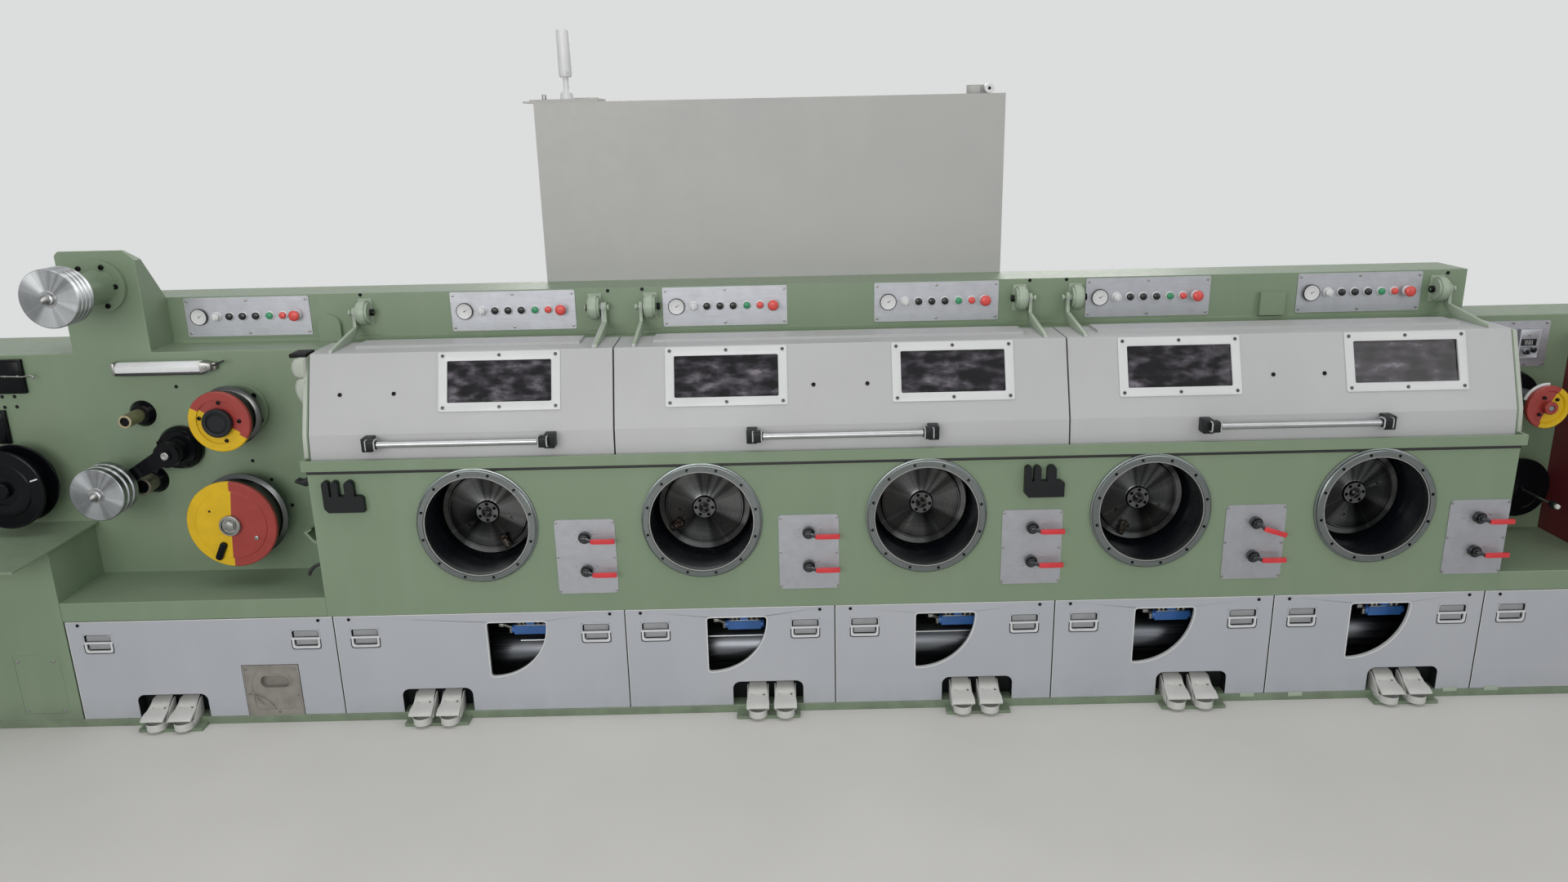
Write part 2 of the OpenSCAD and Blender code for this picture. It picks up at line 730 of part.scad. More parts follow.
module right_disc() color("#141517") {
    turned(rdisc_p) polygon([[0, 158], [12, 158], [14, 160], [14, 172], [11, 174],
        [15, 190], [15, 204], [11, 210], [7, 214], [7, 366], [36, 370], [40, 384],
        [113, 388], [118, 392], [118, 404], [113, 408], [50, 410],
        [48, right_wall_y - 22 - gap], [0, right_wall_y - 22 - gap]]);
}

// ---- covers ----

// Outline of a cover in [y, z], drawn in by t all round
module cover_shape(t) {
    polygon([[cov_bot_y + t, cov_bot_z - (t > 0 ? 1 : 0)], [knee_y + t, knee_z],
        [cover_top_y + t * (1 - tan(slope)), cover_top_z - t],
        [cov_rear_y + (t > 0 ? 1 : 0), cover_top_z - t],
        [cov_rear_y + (t > 0 ? 1 : 0), cov_bot_z - (t > 0 ? 1 : 0)]]);
}

// Depth of a cover's lower front at a height
function skirt_y(z) =
    cov_bot_y + (knee_y - cov_bot_y) * (z - cov_bot_z) / (knee_z - cov_bot_z);

// Puts a window's own plane on the sloping front of a cover
module on_window(w) {
    translate([cap_x[w] + win_off, front + win_y, win_z]) rotate([-slope, 0, 0])
        children();
}

// Bent sheet with end plates, cut through for the windows
module cover_shell(i, a, b) {
    difference() {
        union() {
            difference() {
                xprism(a, b) cover_shape(0);
                xprism(a + cover_t, b - cover_t) cover_shape(cover_t);
            }
            for (w = cov_win[i]) on_window(w) rotate([90, 0, 0]) translate([0, 0, -1])
                linear_extrude(4.5) slab2(pane_w + 2 * frame_w, pane_h + 2 * frame_w, 4);
            box([a + 130, cov_rear_y - 120, cover_top_z - 1],
                [b - 130, cov_rear_y - 6, cover_top_z + 9]);
        }
        for (w = cov_win[i]) on_window(w) rotate([90, 0, 0]) translate([0, 0, -9])
            linear_extrude(20) slab2(pane_w, pane_h, 5);
    }
}

// Cranked flat bar from the cover's top up to the hinge pin
module hinge_arm(x) {
    difference() {
        xprism(x - arm_t / 2, x + arm_t / 2) union() {
            translate([hinge_y, hinge_z]) circle(r = 19);
            polygon([[hinge_y - 15, hinge_z], [hinge_y - 17, cover_top_z + 46],
                [cover_top_y + 16, cover_top_z + 10], [cover_top_y + 8, cover_top_z + gap],
                [cov_rear_y - 60, cover_top_z + gap], [hinge_y - 26, cover_top_z + 16],
                [hinge_y + 15, cover_top_z + 42], [hinge_y + 15, hinge_z]]);
        }
        xcyl(x - 20, x + 20, hinge_y, hinge_z, pin_r + 0.05);
    }
}

// End bracket of the handle: a foot on the lower front, and a socket set inward
module handle_bracket(x, side) {
    z0 = knee_z - 48;
    z1 = knee_z - 4;
    union() {
        xprism(x - 17, x + 17) polygon([[skirt_y(z1) - gap, z1], [-6, z1],
            [-16, z1 - 8], [-16, z0 + 6], [-6, z0], [skirt_y(z0) - gap, z0]]);
        xs = x - side * socket_in;
        xprism(xs - 17, xs + 17) translate([-20, tube_z]) slab2(40, 38, 9);
    }
}

// Shell, two hinge arms, and a tube handle between two brackets
module cover(i) color("#d8d7d3") {
    a = cov_a[i];
    b = cov_b[i];
    mid = (a + b) / 2;
    cover_shell(i, a, b);
    for (x = [a + arm_in, b - arm_in]) hinge_arm(x);
    for (s = [-1, 1]) handle_bracket(mid + s * (handle_len / 2 - 17), s);
    reach = handle_len / 2 - 34 - socket_in - gap;
    xcyl(mid - reach, mid + reach, -22, tube_z, 11);
}

module window_panes(i) color("#3a3438", 0.35) {
    for (w = cov_win[i]) on_window(w) translate([0, pane_back, 0])
        rotate([90, 0, 0]) linear_extrude(4) square([pane_w + 24, pane_h + 24], center = true);
}

plinth();
main_body();
left_housing();
right_housing();
console();
front_housing();
capstan_wells();
cover_shelf();
left_tray();
right_bench();
feed_block();
lower_panels();
panel_pulls();
foot_switches();
coolant_pipe();
blue_valves();
hinge_brackets();
control_plates();
control_buttons();
valve_plates();
wheel_flanges();
spindle_discs();
lamp_bar();
tool_holders();
sensor_boxes();
electrical_cabinet();
counter_plate();
red_guard();
inset_box();
bay_pulleys();
capstan(0);  // capstan_1
capstan(1);  // capstan_2
capstan(2);  // capstan_3
capstan(3);  // capstan_4
capstan(4);  // capstan_5
cover(0);  // cover_1
cover(1);  // cover_2
cover(2);  // cover_3
window_panes(0);  // window_panes_1
window_panes(1);  // window_panes_2
window_panes(2);  // window_panes_3
valve_lever(0, 0);  // valve_lever_1a
valve_lever(0, 1);  // valve_lever_1b
valve_lever(1, 0);  // valve_lever_2a
valve_lever(1, 1);  // valve_lever_2b
valve_lever(2, 0);  // valve_lever_3a
valve_lever(2, 1);  // valve_lever_3b
valve_lever(3, 0);  // valve_lever_4a
valve_lever(3, 1);  // valve_lever_4b
valve_lever(4, 0);  // valve_lever_5a
valve_lever(4, 1);  // valve_lever_5b
top_sheave();
dancer_arm();
dancer_sheave();
upper_wheel();
lower_wheel();
left_reel();
right_wheel();
right_disc();
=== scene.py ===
# %% [markdown]
# # A wire drawing machine, dressed step by step
# The machine arrives as a imported frame: every node already stands in its own
# place, in metres, and belongs to the body it turns or lifts with. This lesson
# adds what a draughtsman leaves out: enamel, machined steel, screws, handles,
# sleeves and smoked windows. The frame is loaded first.

# %% Load the frame
import math
import bpy
from mathutils import Matrix, Vector


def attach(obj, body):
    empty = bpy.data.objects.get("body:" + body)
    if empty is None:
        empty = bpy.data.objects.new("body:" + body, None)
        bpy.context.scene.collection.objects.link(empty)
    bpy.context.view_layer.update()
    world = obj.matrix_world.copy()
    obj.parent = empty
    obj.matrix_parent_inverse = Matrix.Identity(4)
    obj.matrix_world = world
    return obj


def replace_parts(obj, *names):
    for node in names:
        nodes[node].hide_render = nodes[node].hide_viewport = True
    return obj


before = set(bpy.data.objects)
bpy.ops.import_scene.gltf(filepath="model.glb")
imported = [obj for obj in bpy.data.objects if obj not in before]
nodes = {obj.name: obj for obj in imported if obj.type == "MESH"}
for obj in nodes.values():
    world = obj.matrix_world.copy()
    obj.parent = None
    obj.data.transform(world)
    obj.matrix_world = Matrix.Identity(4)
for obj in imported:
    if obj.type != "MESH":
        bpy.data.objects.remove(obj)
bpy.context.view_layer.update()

# %% [markdown]
# ## Measures
# A machine drawing is in millimetres and starts from the front of the housing,
# where a fitter would put the rule. One small function turns such a place into
# metres in the frame, so every number below can be checked with a rule.

# %% Places in millimetres
MM = 0.001
FRONT = -328.5
CAP_X = [-1600, -800, 0, 800, 1600]
CAP_Z = 769


def at(x, y, z):
    """A place in mm, y counted back from the front plane, as metres."""
    return Vector((x, y + FRONT, z)) * MM


print("middle capstan:", [round(v, 3) for v in at(0, 0, CAP_Z)])

# %% [markdown]
# ## The camera
# The photograph was taken standing in front of the second capstan, a little
# above head height and tilted down. The machine's level lines rise slightly to
# the right, because the camera was rolled by about one degree. The same pitch,
# roll and focal length are set here as one rotation, so that each screw falls
# where the picture has it.

# %% Camera
PITCH, ROLL, YAW = (math.radians(a) for a in (16.19, -1.244, -0.087))
EYE = (-0.507, -4.0755, 2.145)
LENS_MM, SENSOR_MM, SIGHT = 25.63, 36, 60


def camera_turn(pitch, roll, yaw):
    """The camera's axes: right, up and back, as the columns of a rotation."""
    right = Vector((math.cos(yaw), math.sin(yaw), 0))
    level = Vector((-math.sin(yaw), math.cos(yaw), 0))
    top = Vector((0, 0, 1))
    ahead = level * math.cos(pitch) - top * math.sin(pitch)
    up = top * math.cos(pitch) + level * math.sin(pitch)
    r = right * math.cos(roll) + up * math.sin(roll)
    u = up * math.cos(roll) - right * math.sin(roll)
    return Matrix((r, u, -ahead)).transposed()


eye = bpy.data.cameras.new("eye")
eye.sensor_fit = "HORIZONTAL"
eye.sensor_width = SENSOR_MM
eye.lens = LENS_MM
eye.clip_end = SIGHT
camera = bpy.data.objects.new("eye", eye)
camera.matrix_world = (Matrix.Translation(EYE)
                       @ camera_turn(PITCH, ROLL, YAW).to_4x4())
bpy.context.scene.collection.objects.link(camera)
bpy.context.scene.camera = camera
print("camera stands", round(EYE[1] - FRONT * MM, 2), "m in front of the housing")

# %% [markdown]
# ## Modelling by hand, in words
# Each new piece starts as one primitive. It is shaped in edit mode with
# extrude, inset, bevel and spin, and its place is applied, so the object ends
# at the origin with its place in its mesh, as the frame's nodes have. These
# helpers are the moves that come back for every piece: start, pick, finish.

# %% Starting and settling a piece


def rest():
    """Object mode, nothing selected."""
    if bpy.context.object and bpy.context.object.mode != "OBJECT":
        bpy.ops.object.mode_set(mode="OBJECT")
    bpy.ops.object.select_all(action="DESELECT")


def named(piece, name):
    piece.name = piece.data.name = name
    return piece


def settle(name):
    """Applies the place of the piece in hand and names it."""
    if bpy.context.object.mode != "OBJECT":
        bpy.ops.object.mode_set(mode="OBJECT")
    bpy.ops.object.transform_apply(location=True, rotation=True, scale=True)
    return named(bpy.context.object, name)


def take(piece):
    """Makes one piece the piece in hand."""
    rest()
    piece.select_set(True)
    bpy.context.view_layer.objects.active = piece


def block(name, lo, hi):
    """A block between two corners in mm."""
    rest()
    a, b = at(*lo), at(*hi)
    bpy.ops.mesh.primitive_cube_add(size=1, location=(a + b) / 2)
    bpy.context.object.scale = b - a
    return settle(name)


def bar(name, a, b, r, sides=32, r_end=None):
    """A round bar or cone from place a to place b in mm, radius in mm."""
    rest()
    p, q = at(*a), at(*b)
    run = q - p
    bpy.ops.mesh.primitive_cone_add(
        vertices=sides, radius1=r * MM, radius2=(r if r_end is None else r_end) * MM,
        depth=run.length, location=(p + q) / 2,
        rotation=run.to_track_quat("Z", "Y").to_euler())
    return settle(name)


# %% Drawing a line, spinning it, drawing it out


def chain(points):
    """Edit mode with one vertex drawn on through places in metres."""
    rest()
    bpy.ops.mesh.primitive_plane_add(size=0.001, location=(0, 0, 0))
    bpy.ops.object.mode_set(mode="EDIT")
    bpy.ops.mesh.select_mode(type="VERT")
    bpy.ops.mesh.select_all(action="SELECT")
    bpy.ops.mesh.merge(type="CENTER")
    bpy.ops.transform.translate(value=points[0])
    for a, b in zip(points, points[1:]):
        bpy.ops.mesh.extrude_vertices_move(TRANSFORM_OT_translate={"value": b - a})


def welded(reach=1e-6):
    """Selects all and merges what meets."""
    bpy.ops.mesh.select_all(action="SELECT")
    bpy.ops.mesh.remove_doubles(threshold=reach)


def spun(name, points, centre, axis, steps, sweep=360):
    """Places in metres spun round an axis. Over less than a whole turn the
    section is filled first, so that both ends are closed."""
    chain(points)
    if sweep < 360:
        welded()
        bpy.ops.mesh.edge_face_add()
    else:
        bpy.ops.mesh.select_all(action="SELECT")
    bpy.ops.mesh.spin(steps=steps, angle=math.radians(sweep), center=centre, axis=axis)
    welded(2e-6)
    bpy.ops.mesh.normals_make_consistent(inside=False)
    return settle(name)


def turned(name, p, profile, steps=64):
    """A profile of (radius, y) in mm spun round the axis through p = (x, z)."""
    return spun(name, [at(p[0] + r, y, p[1]) for r, y in profile],
                at(p[0], 0, p[1]), (0, 1, 0), steps)


def upright(name, x, y, profile):
    """A profile of (radius, height) in mm spun round a vertical axis."""
    return smooth(spun(name, [at(x + r, y, z) for r, z in profile],
                       at(x, y, 0), (0, 0, 1), 48), 35)


def half(name, p, section, start, sweep):
    """A closed section (radius, y) spun from one angle over a sweep."""
    k = math.radians(start)
    line = [at(p[0] + r * math.cos(k), y, p[1] + r * math.sin(k))
            for r, y in section + section[:1]]
    return smooth(spun(name, line, at(p[0], 0, p[1]), (0, 1, 0), 40, sweep), 30)


def sawn(name, outline, along):
    """An outline in metres, filled and drawn out by a vector in mm."""
    chain(outline + [outline[0]])
    welded()
    bpy.ops.mesh.edge_face_add()
    bpy.ops.mesh.extrude_region_move(
        TRANSFORM_OT_translate={"value": Vector(along) * MM})
    bpy.ops.mesh.select_all(action="SELECT")
    bpy.ops.mesh.normals_make_consistent(inside=False)
    return settle(name)


def side_cut(name, x, line, width):
    """A side view of (y, z) in mm at x, drawn out to the right."""
    return sawn(name, [at(x, y, z) for y, z in line], (width, 0, 0))


def front_cut(name, y, line, depth):
    """A front view of (x, z) in mm at y, drawn out to the back."""
    return sawn(name, [at(x, y, z) for x, z in line], (0, depth, 0))


def arc(x, z, r, start, end, steps):
    """Places in (x, z) along an arc, angles in degrees."""
    return [(x + r * math.cos(math.radians(start + (end - start) * k / steps)),
             z + r * math.sin(math.radians(start + (end - start) * k / steps)))
            for k in range(steps + 1)]


# %% Picking faces, breaking edges, cutting


def pick(piece, test, kind="FACE"):
    """Edit mode with the faces or edges selected whose middle passes a test."""
    take(piece)
    bpy.ops.object.mode_set(mode="EDIT")
    bpy.ops.mesh.select_mode(type=kind)
    bpy.ops.mesh.select_all(action="DESELECT")
    bpy.ops.object.mode_set(mode="OBJECT")
    mesh = piece.data
    if kind == "FACE":
        for face in mesh.polygons:
            face.select = bool(test(face.center, face.normal))
    else:
        for edge in mesh.edges:
            a, b = (mesh.vertices[v].co for v in edge.vertices)
            edge.select = bool(test((a + b) / 2, (b - a).normalized()))
    bpy.ops.object.mode_set(mode="EDIT")


def stepped(piece, test, rim, move, extrude=False):
    """Insets the picked faces by a rim, then moves or extrudes them, in mm. The
    piece stays in edit mode, so that a resize may follow."""
    pick(piece, test)
    bpy.ops.mesh.inset(thickness=rim * MM)
    step = {"value": Vector(move) * MM}
    if extrude:
        bpy.ops.mesh.extrude_region_move(TRANSFORM_OT_translate=step)
    else:
        bpy.ops.transform.translate(**step)
    return piece


def softened(piece, r, test=lambda c: True):
    """Rounds the edges that run front to back, where their middle passes."""
    pick(piece, lambda c, d: abs(d.y) > 0.9 and test(c), "EDGE")
    bpy.ops.mesh.bevel(offset=r * MM, segments=4)
    rest()
    return piece


def smooth(piece, angle=40):
    """Smooth shading over everything flatter than an angle."""
    take(piece)
    bpy.ops.object.shade_smooth_by_angle(angle=math.radians(angle))
    return piece


def edge_break(piece, name, width, segments, angle):
    """A bevel in mm on every edge sharper than an angle."""
    edge = piece.modifiers.new(name, "BEVEL")
    edge.width = width * MM
    edge.segments = segments
    edge.limit_method = "ANGLE"
    edge.angle_limit = math.radians(angle)
    edge.use_clamp_overlap = True


def eased(piece, width, segments=2, angle=35):
    """Breaks the sharp edges by a bevel in mm and smooths what is round."""
    take(piece)
    edge_break(piece, "eased", width, segments, angle)
    bpy.ops.object.modifier_apply(modifier="eased")
    return smooth(piece)


def bored(piece, cutters):
    """Cuts other pieces out of a piece and throws the cutters away."""
    for cutter in cutters:
        take(piece)
        cut = piece.modifiers.new("cut", "BOOLEAN")
        cut.operation = "DIFFERENCE"
        cut.solver = "EXACT"
        cut.object = cutter
        bpy.ops.object.modifier_apply(modifier="cut")
        bpy.data.objects.remove(cutter)
    return piece


# %% Placing, copying, joining and dressing


def one(name, parts):
    """Joins parts into one piece."""
    rest()
    for part in parts:
        part.select_set(True)
    bpy.context.view_layer.objects.active = parts[0]
    if len(parts) > 1:
        bpy.ops.object.join()
    return named(parts[0], name)


def put(x, y, z, tilt=0, spin=0):
    """The move that takes a master from (0, 0, 0) in mm to a place: leaned back
    by tilt about X and turned by spin about Y, both in degrees."""
    o = Matrix.Translation(at(0, 0, 0))
    turn = Matrix.Rotation(math.radians(-tilt), 4, "X") @ Matrix.Rotation(
        math.radians(-spin), 4, "Y")
    return Matrix.Translation(Vector((x, y, z)) * MM) @ o @ turn @ o.inverted()


def cloned(name, master, move=Matrix()):
    """One copy of a master with its own mesh, moved to its place."""
    twin = master.copy()
    twin.data = master.data.copy()
    twin.data.transform(move)
    bpy.context.scene.collection.objects.link(twin)
    return named(twin, name)


def spread(name, master, moves):
    """Copies a master by moves, joins the copies and drops the master."""
    made = [cloned("twin", master, move) for move in moves]
    bpy.data.objects.remove(master)
    return one(name, made)


def dress(piece, material, body="machine"):
    """Gives a new piece its finish and the body it rides on."""
    piece.data.materials.clear()
    piece.data.materials.append(material)
    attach(piece, body)
    print(piece.name, "faces:", len(piece.data.polygons), "on", body)
    return piece


def lathe(name, p, profile, steps, material, body="machine", angle=30):
    """One turned part, smoothed and dressed."""
    return dress(smooth(turned(name, p, profile, steps), angle), material, body)


print("helpers ready")

# %% [markdown]
# ## Finishes
# A finish is named for what the real thing is and how its surface was made.
# Colours are sRGB codes read off a colour card, turned to the linear values
# that a shader works in. Pattern sizes are real sizes in millimetres. Places
# come from Object coordinates, so a pattern stays on its piece as it turns.
# One small function adds a node with its settings and links. Two things come
# back in most finishes: patches of a second colour laid over the first, and a
# grain that drives gloss and relief together.

# %% Colour and node helpers


def srgb(code):
    """An sRGB hex code as linear colour."""
    parts = [int(code[i:i + 2], 16) / 255 for i in (1, 3, 5)]
    return tuple(v / 12.92 if v <= 0.04045 else ((v + 0.055) / 1.055) ** 2.4
                 for v in parts) + (1,)


def add(tree, kind, links=None, **settings):
    """Adds one node. An input gets a value, a node's output, or a node, which
    stands for its first output."""
    node = tree.nodes.new("ShaderNode" + kind)
    for key, value in settings.items():
        setattr(node, key, value)
    for key, value in (links or {}).items():
        if isinstance(value, bpy.types.Node):
            value = value.outputs[0]
        if isinstance(value, bpy.types.NodeSocket):
            tree.links.new(value, node.inputs[key])
        else:
            node.inputs[key].default_value = value
    return node


def finish_of(name, colour, rough, metal=0.0, **sockets):
    """A new material with its shader; constants go straight on the sockets."""
    mat = bpy.data.materials.new(name)
    mat.use_nodes = True
    tree = mat.node_tree
    tree.nodes.clear()
    shader = add(tree, "BsdfPrincipled", {"Base Color": srgb(colour),
                                          "Roughness": rough, "Metallic": metal})
    for key, value in sockets.items():
        shader.inputs[key.replace("_", " ").title().replace("Ior", "IOR")
                      ].default_value = value
    add(tree, "OutputMaterial", {"Surface": shader})
    place = add(tree, "TexCoord").outputs["Object"]
    return mat, tree, shader, place


def patched(tree, tone, colour, place, size_mm, low, high, most=1.0, detail=3):
    """Lays patches of a colour, size_mm across, over a tone. Noise below low
    leaves the tone, and noise above high shows the most of the colour."""
    noise = add(tree, "TexNoise", {"Vector": place, "Scale": 1000 / size_mm,
                                   "Detail": detail})
    share = add(tree, "MapRange", {"Value": noise, "From Min": low, "From Max": high,
                                   "To Max": most})
    return add(tree, "Mix", {0: share, 6: tone, 7: srgb(colour)},
               data_type="RGBA").outputs[2]


def surfaced(tree, shader, tone, grain, least, most, relief, depth_mm, strength):
    """Wires the shader: a tone, a grain that takes roughness from least to
    most, and a relief of a depth in mm."""
    gloss = add(tree, "MapRange", {"Value": grain, "From Min": 0.3, "From Max": 0.7,
                                   "To Min": least, "To Max": most})
    bump = add(tree, "Bump", {"Height": relief, "Distance": depth_mm * MM,
                              "Strength": strength})
    for value, socket in ((tone, "Base Color"), (gloss.outputs[0], "Roughness"),
                          (bump.outputs[0], "Normal")):
        tree.links.new(value, shader.inputs[socket])


print("green is", [round(v, 3) for v in srgb("#76876f")[:3]])

# %% [markdown]
# ## Sprayed enamel
# The housing is welded sheet, filled, and sprayed with two-part machine
# enamel. The spray leaves orange peel a few millimetres across, the colour
# drifts in soft patches where coats overlap, coolant and water leave faint
# runs, boots leave grime near the floor, and workshop dust settles on what
# faces up. That pale dust on upward faces is also a painted highlight: it
# stands for the sheen of light from above as well as for dust. The peel is
# drawn 7 mm across, coarser than the real 3 mm, so that it shows at this
# distance. One function makes every sprayed colour.

# %% Enamel
GRIME = "#54584f"


def enamel(name, colour, patch_colour, dust_and_sheen_colour, rough, peel_mm=7, patch_mm=420,
           dust_and_sheen=0.3, toe_grime=0.0, streaks=0.0, shine=0.45):
    """Dust and sheen, toe_grime and streaks are the most that shows of each; on
    upward faces the dust colour is partly a painted highlight.
    """
    mat, tree, shader, place = finish_of(name, colour, rough, Specular_IOR_Level=shine)
    tone = patched(tree, srgb(colour), patch_colour, place, patch_mm, 0.35, 0.68)
    fine = add(tree, "TexNoise", {"Vector": place, "Scale": 1000 / 26, "Detail": 4})
    if streaks:
        runs = add(tree, "Mapping", {"Vector": place, "Scale": (1, 1, 0.12)})
        tone = patched(tree, tone, dust_and_sheen_colour, runs, 90, 0.52, 0.75, streaks)
    # Upward faces turn towards the pale colour: dust, and partly painted sheen of light
    # from above.
    up = add(tree, "SeparateXYZ", {0: add(tree, "NewGeometry").outputs["Normal"]})
    dust_and_sheen_share = add(tree, "MapRange", {"Value": up.outputs[2], "From Min": 0.55,
                                   "From Max": 1.0, "To Max": dust_and_sheen})
    spots = add(tree, "MapRange", {"Value": fine, "From Min": 0.3, "From Max": 0.7,
                                   "To Min": 0.5, "To Max": 1.0})
    dust_and_sheen_share = add(tree, "Math", {0: dust_and_sheen_share, 1: spots}, operation="MULTIPLY")
    tone = add(tree, "Mix", {0: dust_and_sheen_share, 6: tone, 7: srgb(dust_and_sheen_colour)},
               data_type="RGBA").outputs[2]
    if toe_grime:
        height = add(tree, "SeparateXYZ", {0: place}).outputs[2]
        low = add(tree, "MapRange", {"Value": height, "From Min": 0.012,
                                     "From Max": 0.12, "To Min": toe_grime, "To Max": 0})
        scuffs = add(tree, "TexNoise", {"Vector": place, "Scale": 1000 / 60, "Detail": 4})
        scuffs = add(tree, "MapRange", {"Value": scuffs, "From Min": 0.35,
                                        "From Max": 0.65, "To Min": 0.25})
        low = add(tree, "Math", {0: low, 1: scuffs}, operation="MULTIPLY")
        tone = add(tree, "Mix", {0: low, 6: tone, 7: srgb(GRIME)},
                   data_type="RGBA").outputs[2]
    peel = add(tree, "TexNoise", {"Vector": place, "Scale": 1000 / peel_mm, "Detail": 1})
    surfaced(tree, shader, tone, fine, rough - 0.05, rough + 0.07, peel, 0.12, 0.35)
    return mat


green = enamel("green_machine_enamel", "#76876f", "#71846c", "#8c9886", 0.38,
               toe_grime=0.5, streaks=0.16)
pale_green = enamel("pale_green_enamel_castings", "#9aa796", "#92a08f", "#aeb8aa", 0.42,
                    patch_mm=120)
sheet_pale = enamel("pale_green_sheet_enamel", "#a7ada3", "#a0a69c", "#b6bab1", 0.4,
                    patch_mm=200)
cover_grey = enamel("warm_white_powder_coat", "#adafb0", "#a7a8a9", "#b9babb", 0.42,
                    peel_mm=6, patch_mm=600, streaks=0.1)
panel_grey = enamel("cool_white_powder_coat", "#a6a9af", "#a0a4ab", "#b4b6ba", 0.45,
                    peel_mm=6, patch_mm=500, toe_grime=0.16, streaks=0.1)
frame_white = enamel("window_frame_white_enamel", "#c9cbcc", "#c3c5c6", "#d2d2d1", 0.35,
                     peel_mm=6, patch_mm=200)
cabinet_white = enamel("cabinet_fine_powder_coat", "#a3a3a1", "#9d9e9d", "#adadad", 0.5,
                       peel_mm=5, patch_mm=700, streaks=0.1)
guard_red = enamel("guard_oxide_red_enamel", "#5c1f25", "#521a20", "#6b3839", 0.42,
                   patch_mm=180)
wheel_red = enamel("wheel_red_enamel", "#93352f", "#8a2f2a", "#a3625b", 0.36,
                   patch_mm=60, dust_and_sheen=0.15)
wheel_yellow = enamel("wheel_yellow_enamel", "#cda803", "#c29e02", "#cab24a", 0.36,
                      patch_mm=60, dust_and_sheen=0.15)
valve_blue = enamel("valve_blue_enamel", "#33609f", "#2c5790", "#6582a8", 0.35,
                    patch_mm=60, dust_and_sheen=0.2)
gloss_black = enamel("gloss_black_enamel", "#0b0d11", "#090a0d", "#3a3b3b", 0.2,
                     patch_mm=120, dust_and_sheen=0.06, shine=0.14)
print("enamels:", len(bpy.data.materials))

# %% [markdown]
# ## Turned and brushed metal
# A face that was cut on a lathe keeps fine rings round its axis. Light draws
# them into bright fans that start at the hub. So the surface is anisotropic,
# with its grain running round the axis, and the rings themselves are faint
# bands of colour and roughness. Where fans are asked for, brighter and duller
# sectors are also painted into the colour: painted highlights of those fans.
# Real feed marks are 0.2 mm apart; the bands here are 4 mm apart, as coarse as
# they need to be to show. Drawn and brushed steel has its grain in lines along
# the tube or plate, and dull spots where hands or oil have been.

# %% Turned metal
OIL, DULL = "#4a3f37", "#5f5e5b"
BAY = CAP_X[1] - CAP_X[0]


def turned_metal(name, colour, band_colour, rough, axis=None, band_mm=4.0, aniso=0.7,
                 stain=0.0, fan_highlights=0.0):
    """Axis is (x, z) in mm; without it the rings lie round every capstan. Fan
    highlights are painted: sectors round the axis made brighter or duller."""
    mat, tree, shader, place = finish_of(name, colour, rough, 1.0, Anisotropic=aniso)
    if axis is None:
        parts = add(tree, "SeparateXYZ", {0: place})
        beside = add(tree, "Math", {0: parts, 1: BAY / 2 * MM, 2: -BAY / 2 * MM},
                     operation="WRAP")
        above = add(tree, "Math", {0: parts.outputs[2], 1: CAP_Z * MM},
                    operation="SUBTRACT")
        spoke = add(tree, "CombineXYZ", {0: beside, 2: above})
    else:
        centre = add(tree, "Mapping", {"Vector": place, "Location":
                                       (-axis[0] * MM, 0, -axis[1] * MM)})
        spoke = add(tree, "VectorMath", {0: centre, 1: (1, 0, 1)}, operation="MULTIPLY")
    reach = add(tree, "VectorMath", {0: spoke}, operation="LENGTH").outputs["Value"]
    rings = add(tree, "TexNoise", {"W": reach, "Scale": 1000 / band_mm, "Detail": 3},
                noise_dimensions="1D")
    around = add(tree, "VectorMath", {0: spoke, 1: (0, 1, 0)}, operation="CROSS_PRODUCT")
    around = add(tree, "VectorTransform", {0: around}, vector_type="VECTOR",
                 convert_from="OBJECT", convert_to="WORLD")
    tree.links.new(around.outputs[0], shader.inputs["Tangent"])
    share = add(tree, "MapRange", {"Value": rings, "From Min": 0.35, "From Max": 0.65})
    tone = add(tree, "Mix", {0: share, 6: srgb(colour), 7: srgb(band_colour)},
               data_type="RGBA").outputs[2]
    # Painted highlights: sectors round the axis made brighter or duller, as fans of
    # reflected light.
    if fan_highlights:
        way = add(tree, "VectorMath", {0: spoke}, operation="NORMALIZE")
        painted_fan = add(tree, "TexNoise", {"Vector": way, "Scale": 1.7, "Detail": 2})
        painted_fan = add(tree, "MapRange", {"Value": painted_fan, "From Min": 0.42,
                                        "From Max": 0.6, "To Min": 1 - fan_highlights,
                                        "To Max": 1 + fan_highlights})
        tone = add(tree, "VectorMath", {0: tone, 1: painted_fan}, operation="MULTIPLY")
        tone = tone.outputs[0]
    if stain:
        tone = patched(tree, tone, OIL, place, 110, 0.45, 0.7, stain)
    surfaced(tree, shader, tone, rings, rough - 0.05, rough + 0.07, rings, 0.02, 0.2)
    return mat


def drawn_metal(name, colour, rough, grain_mm=3.0, along=(0.02, 1, 1), spot=0.0):
    """Tube or plate drawn or brushed along one axis; spot adds dull patches."""
    mat, tree, shader, place = finish_of(name, colour, rough, 1.0)
    lines = add(tree, "Mapping", {"Vector": place, "Scale": along})
    lines = add(tree, "TexNoise", {"Vector": lines, "Scale": 1000 / grain_mm,
                                   "Detail": 2})
    tone = patched(tree, srgb(colour), DULL, place, 35, 0.4, 0.7, 0.1 + spot)
    surfaced(tree, shader, tone, lines, rough - 0.06, rough + 0.08, lines, 0.02, 0.25)
    return mat


# %% [markdown]
# The axes of the round parts are places (x, z) in mm. The dancer's sheave
# stands at the far end of its arm, so its axis is the pivot plus that reach.

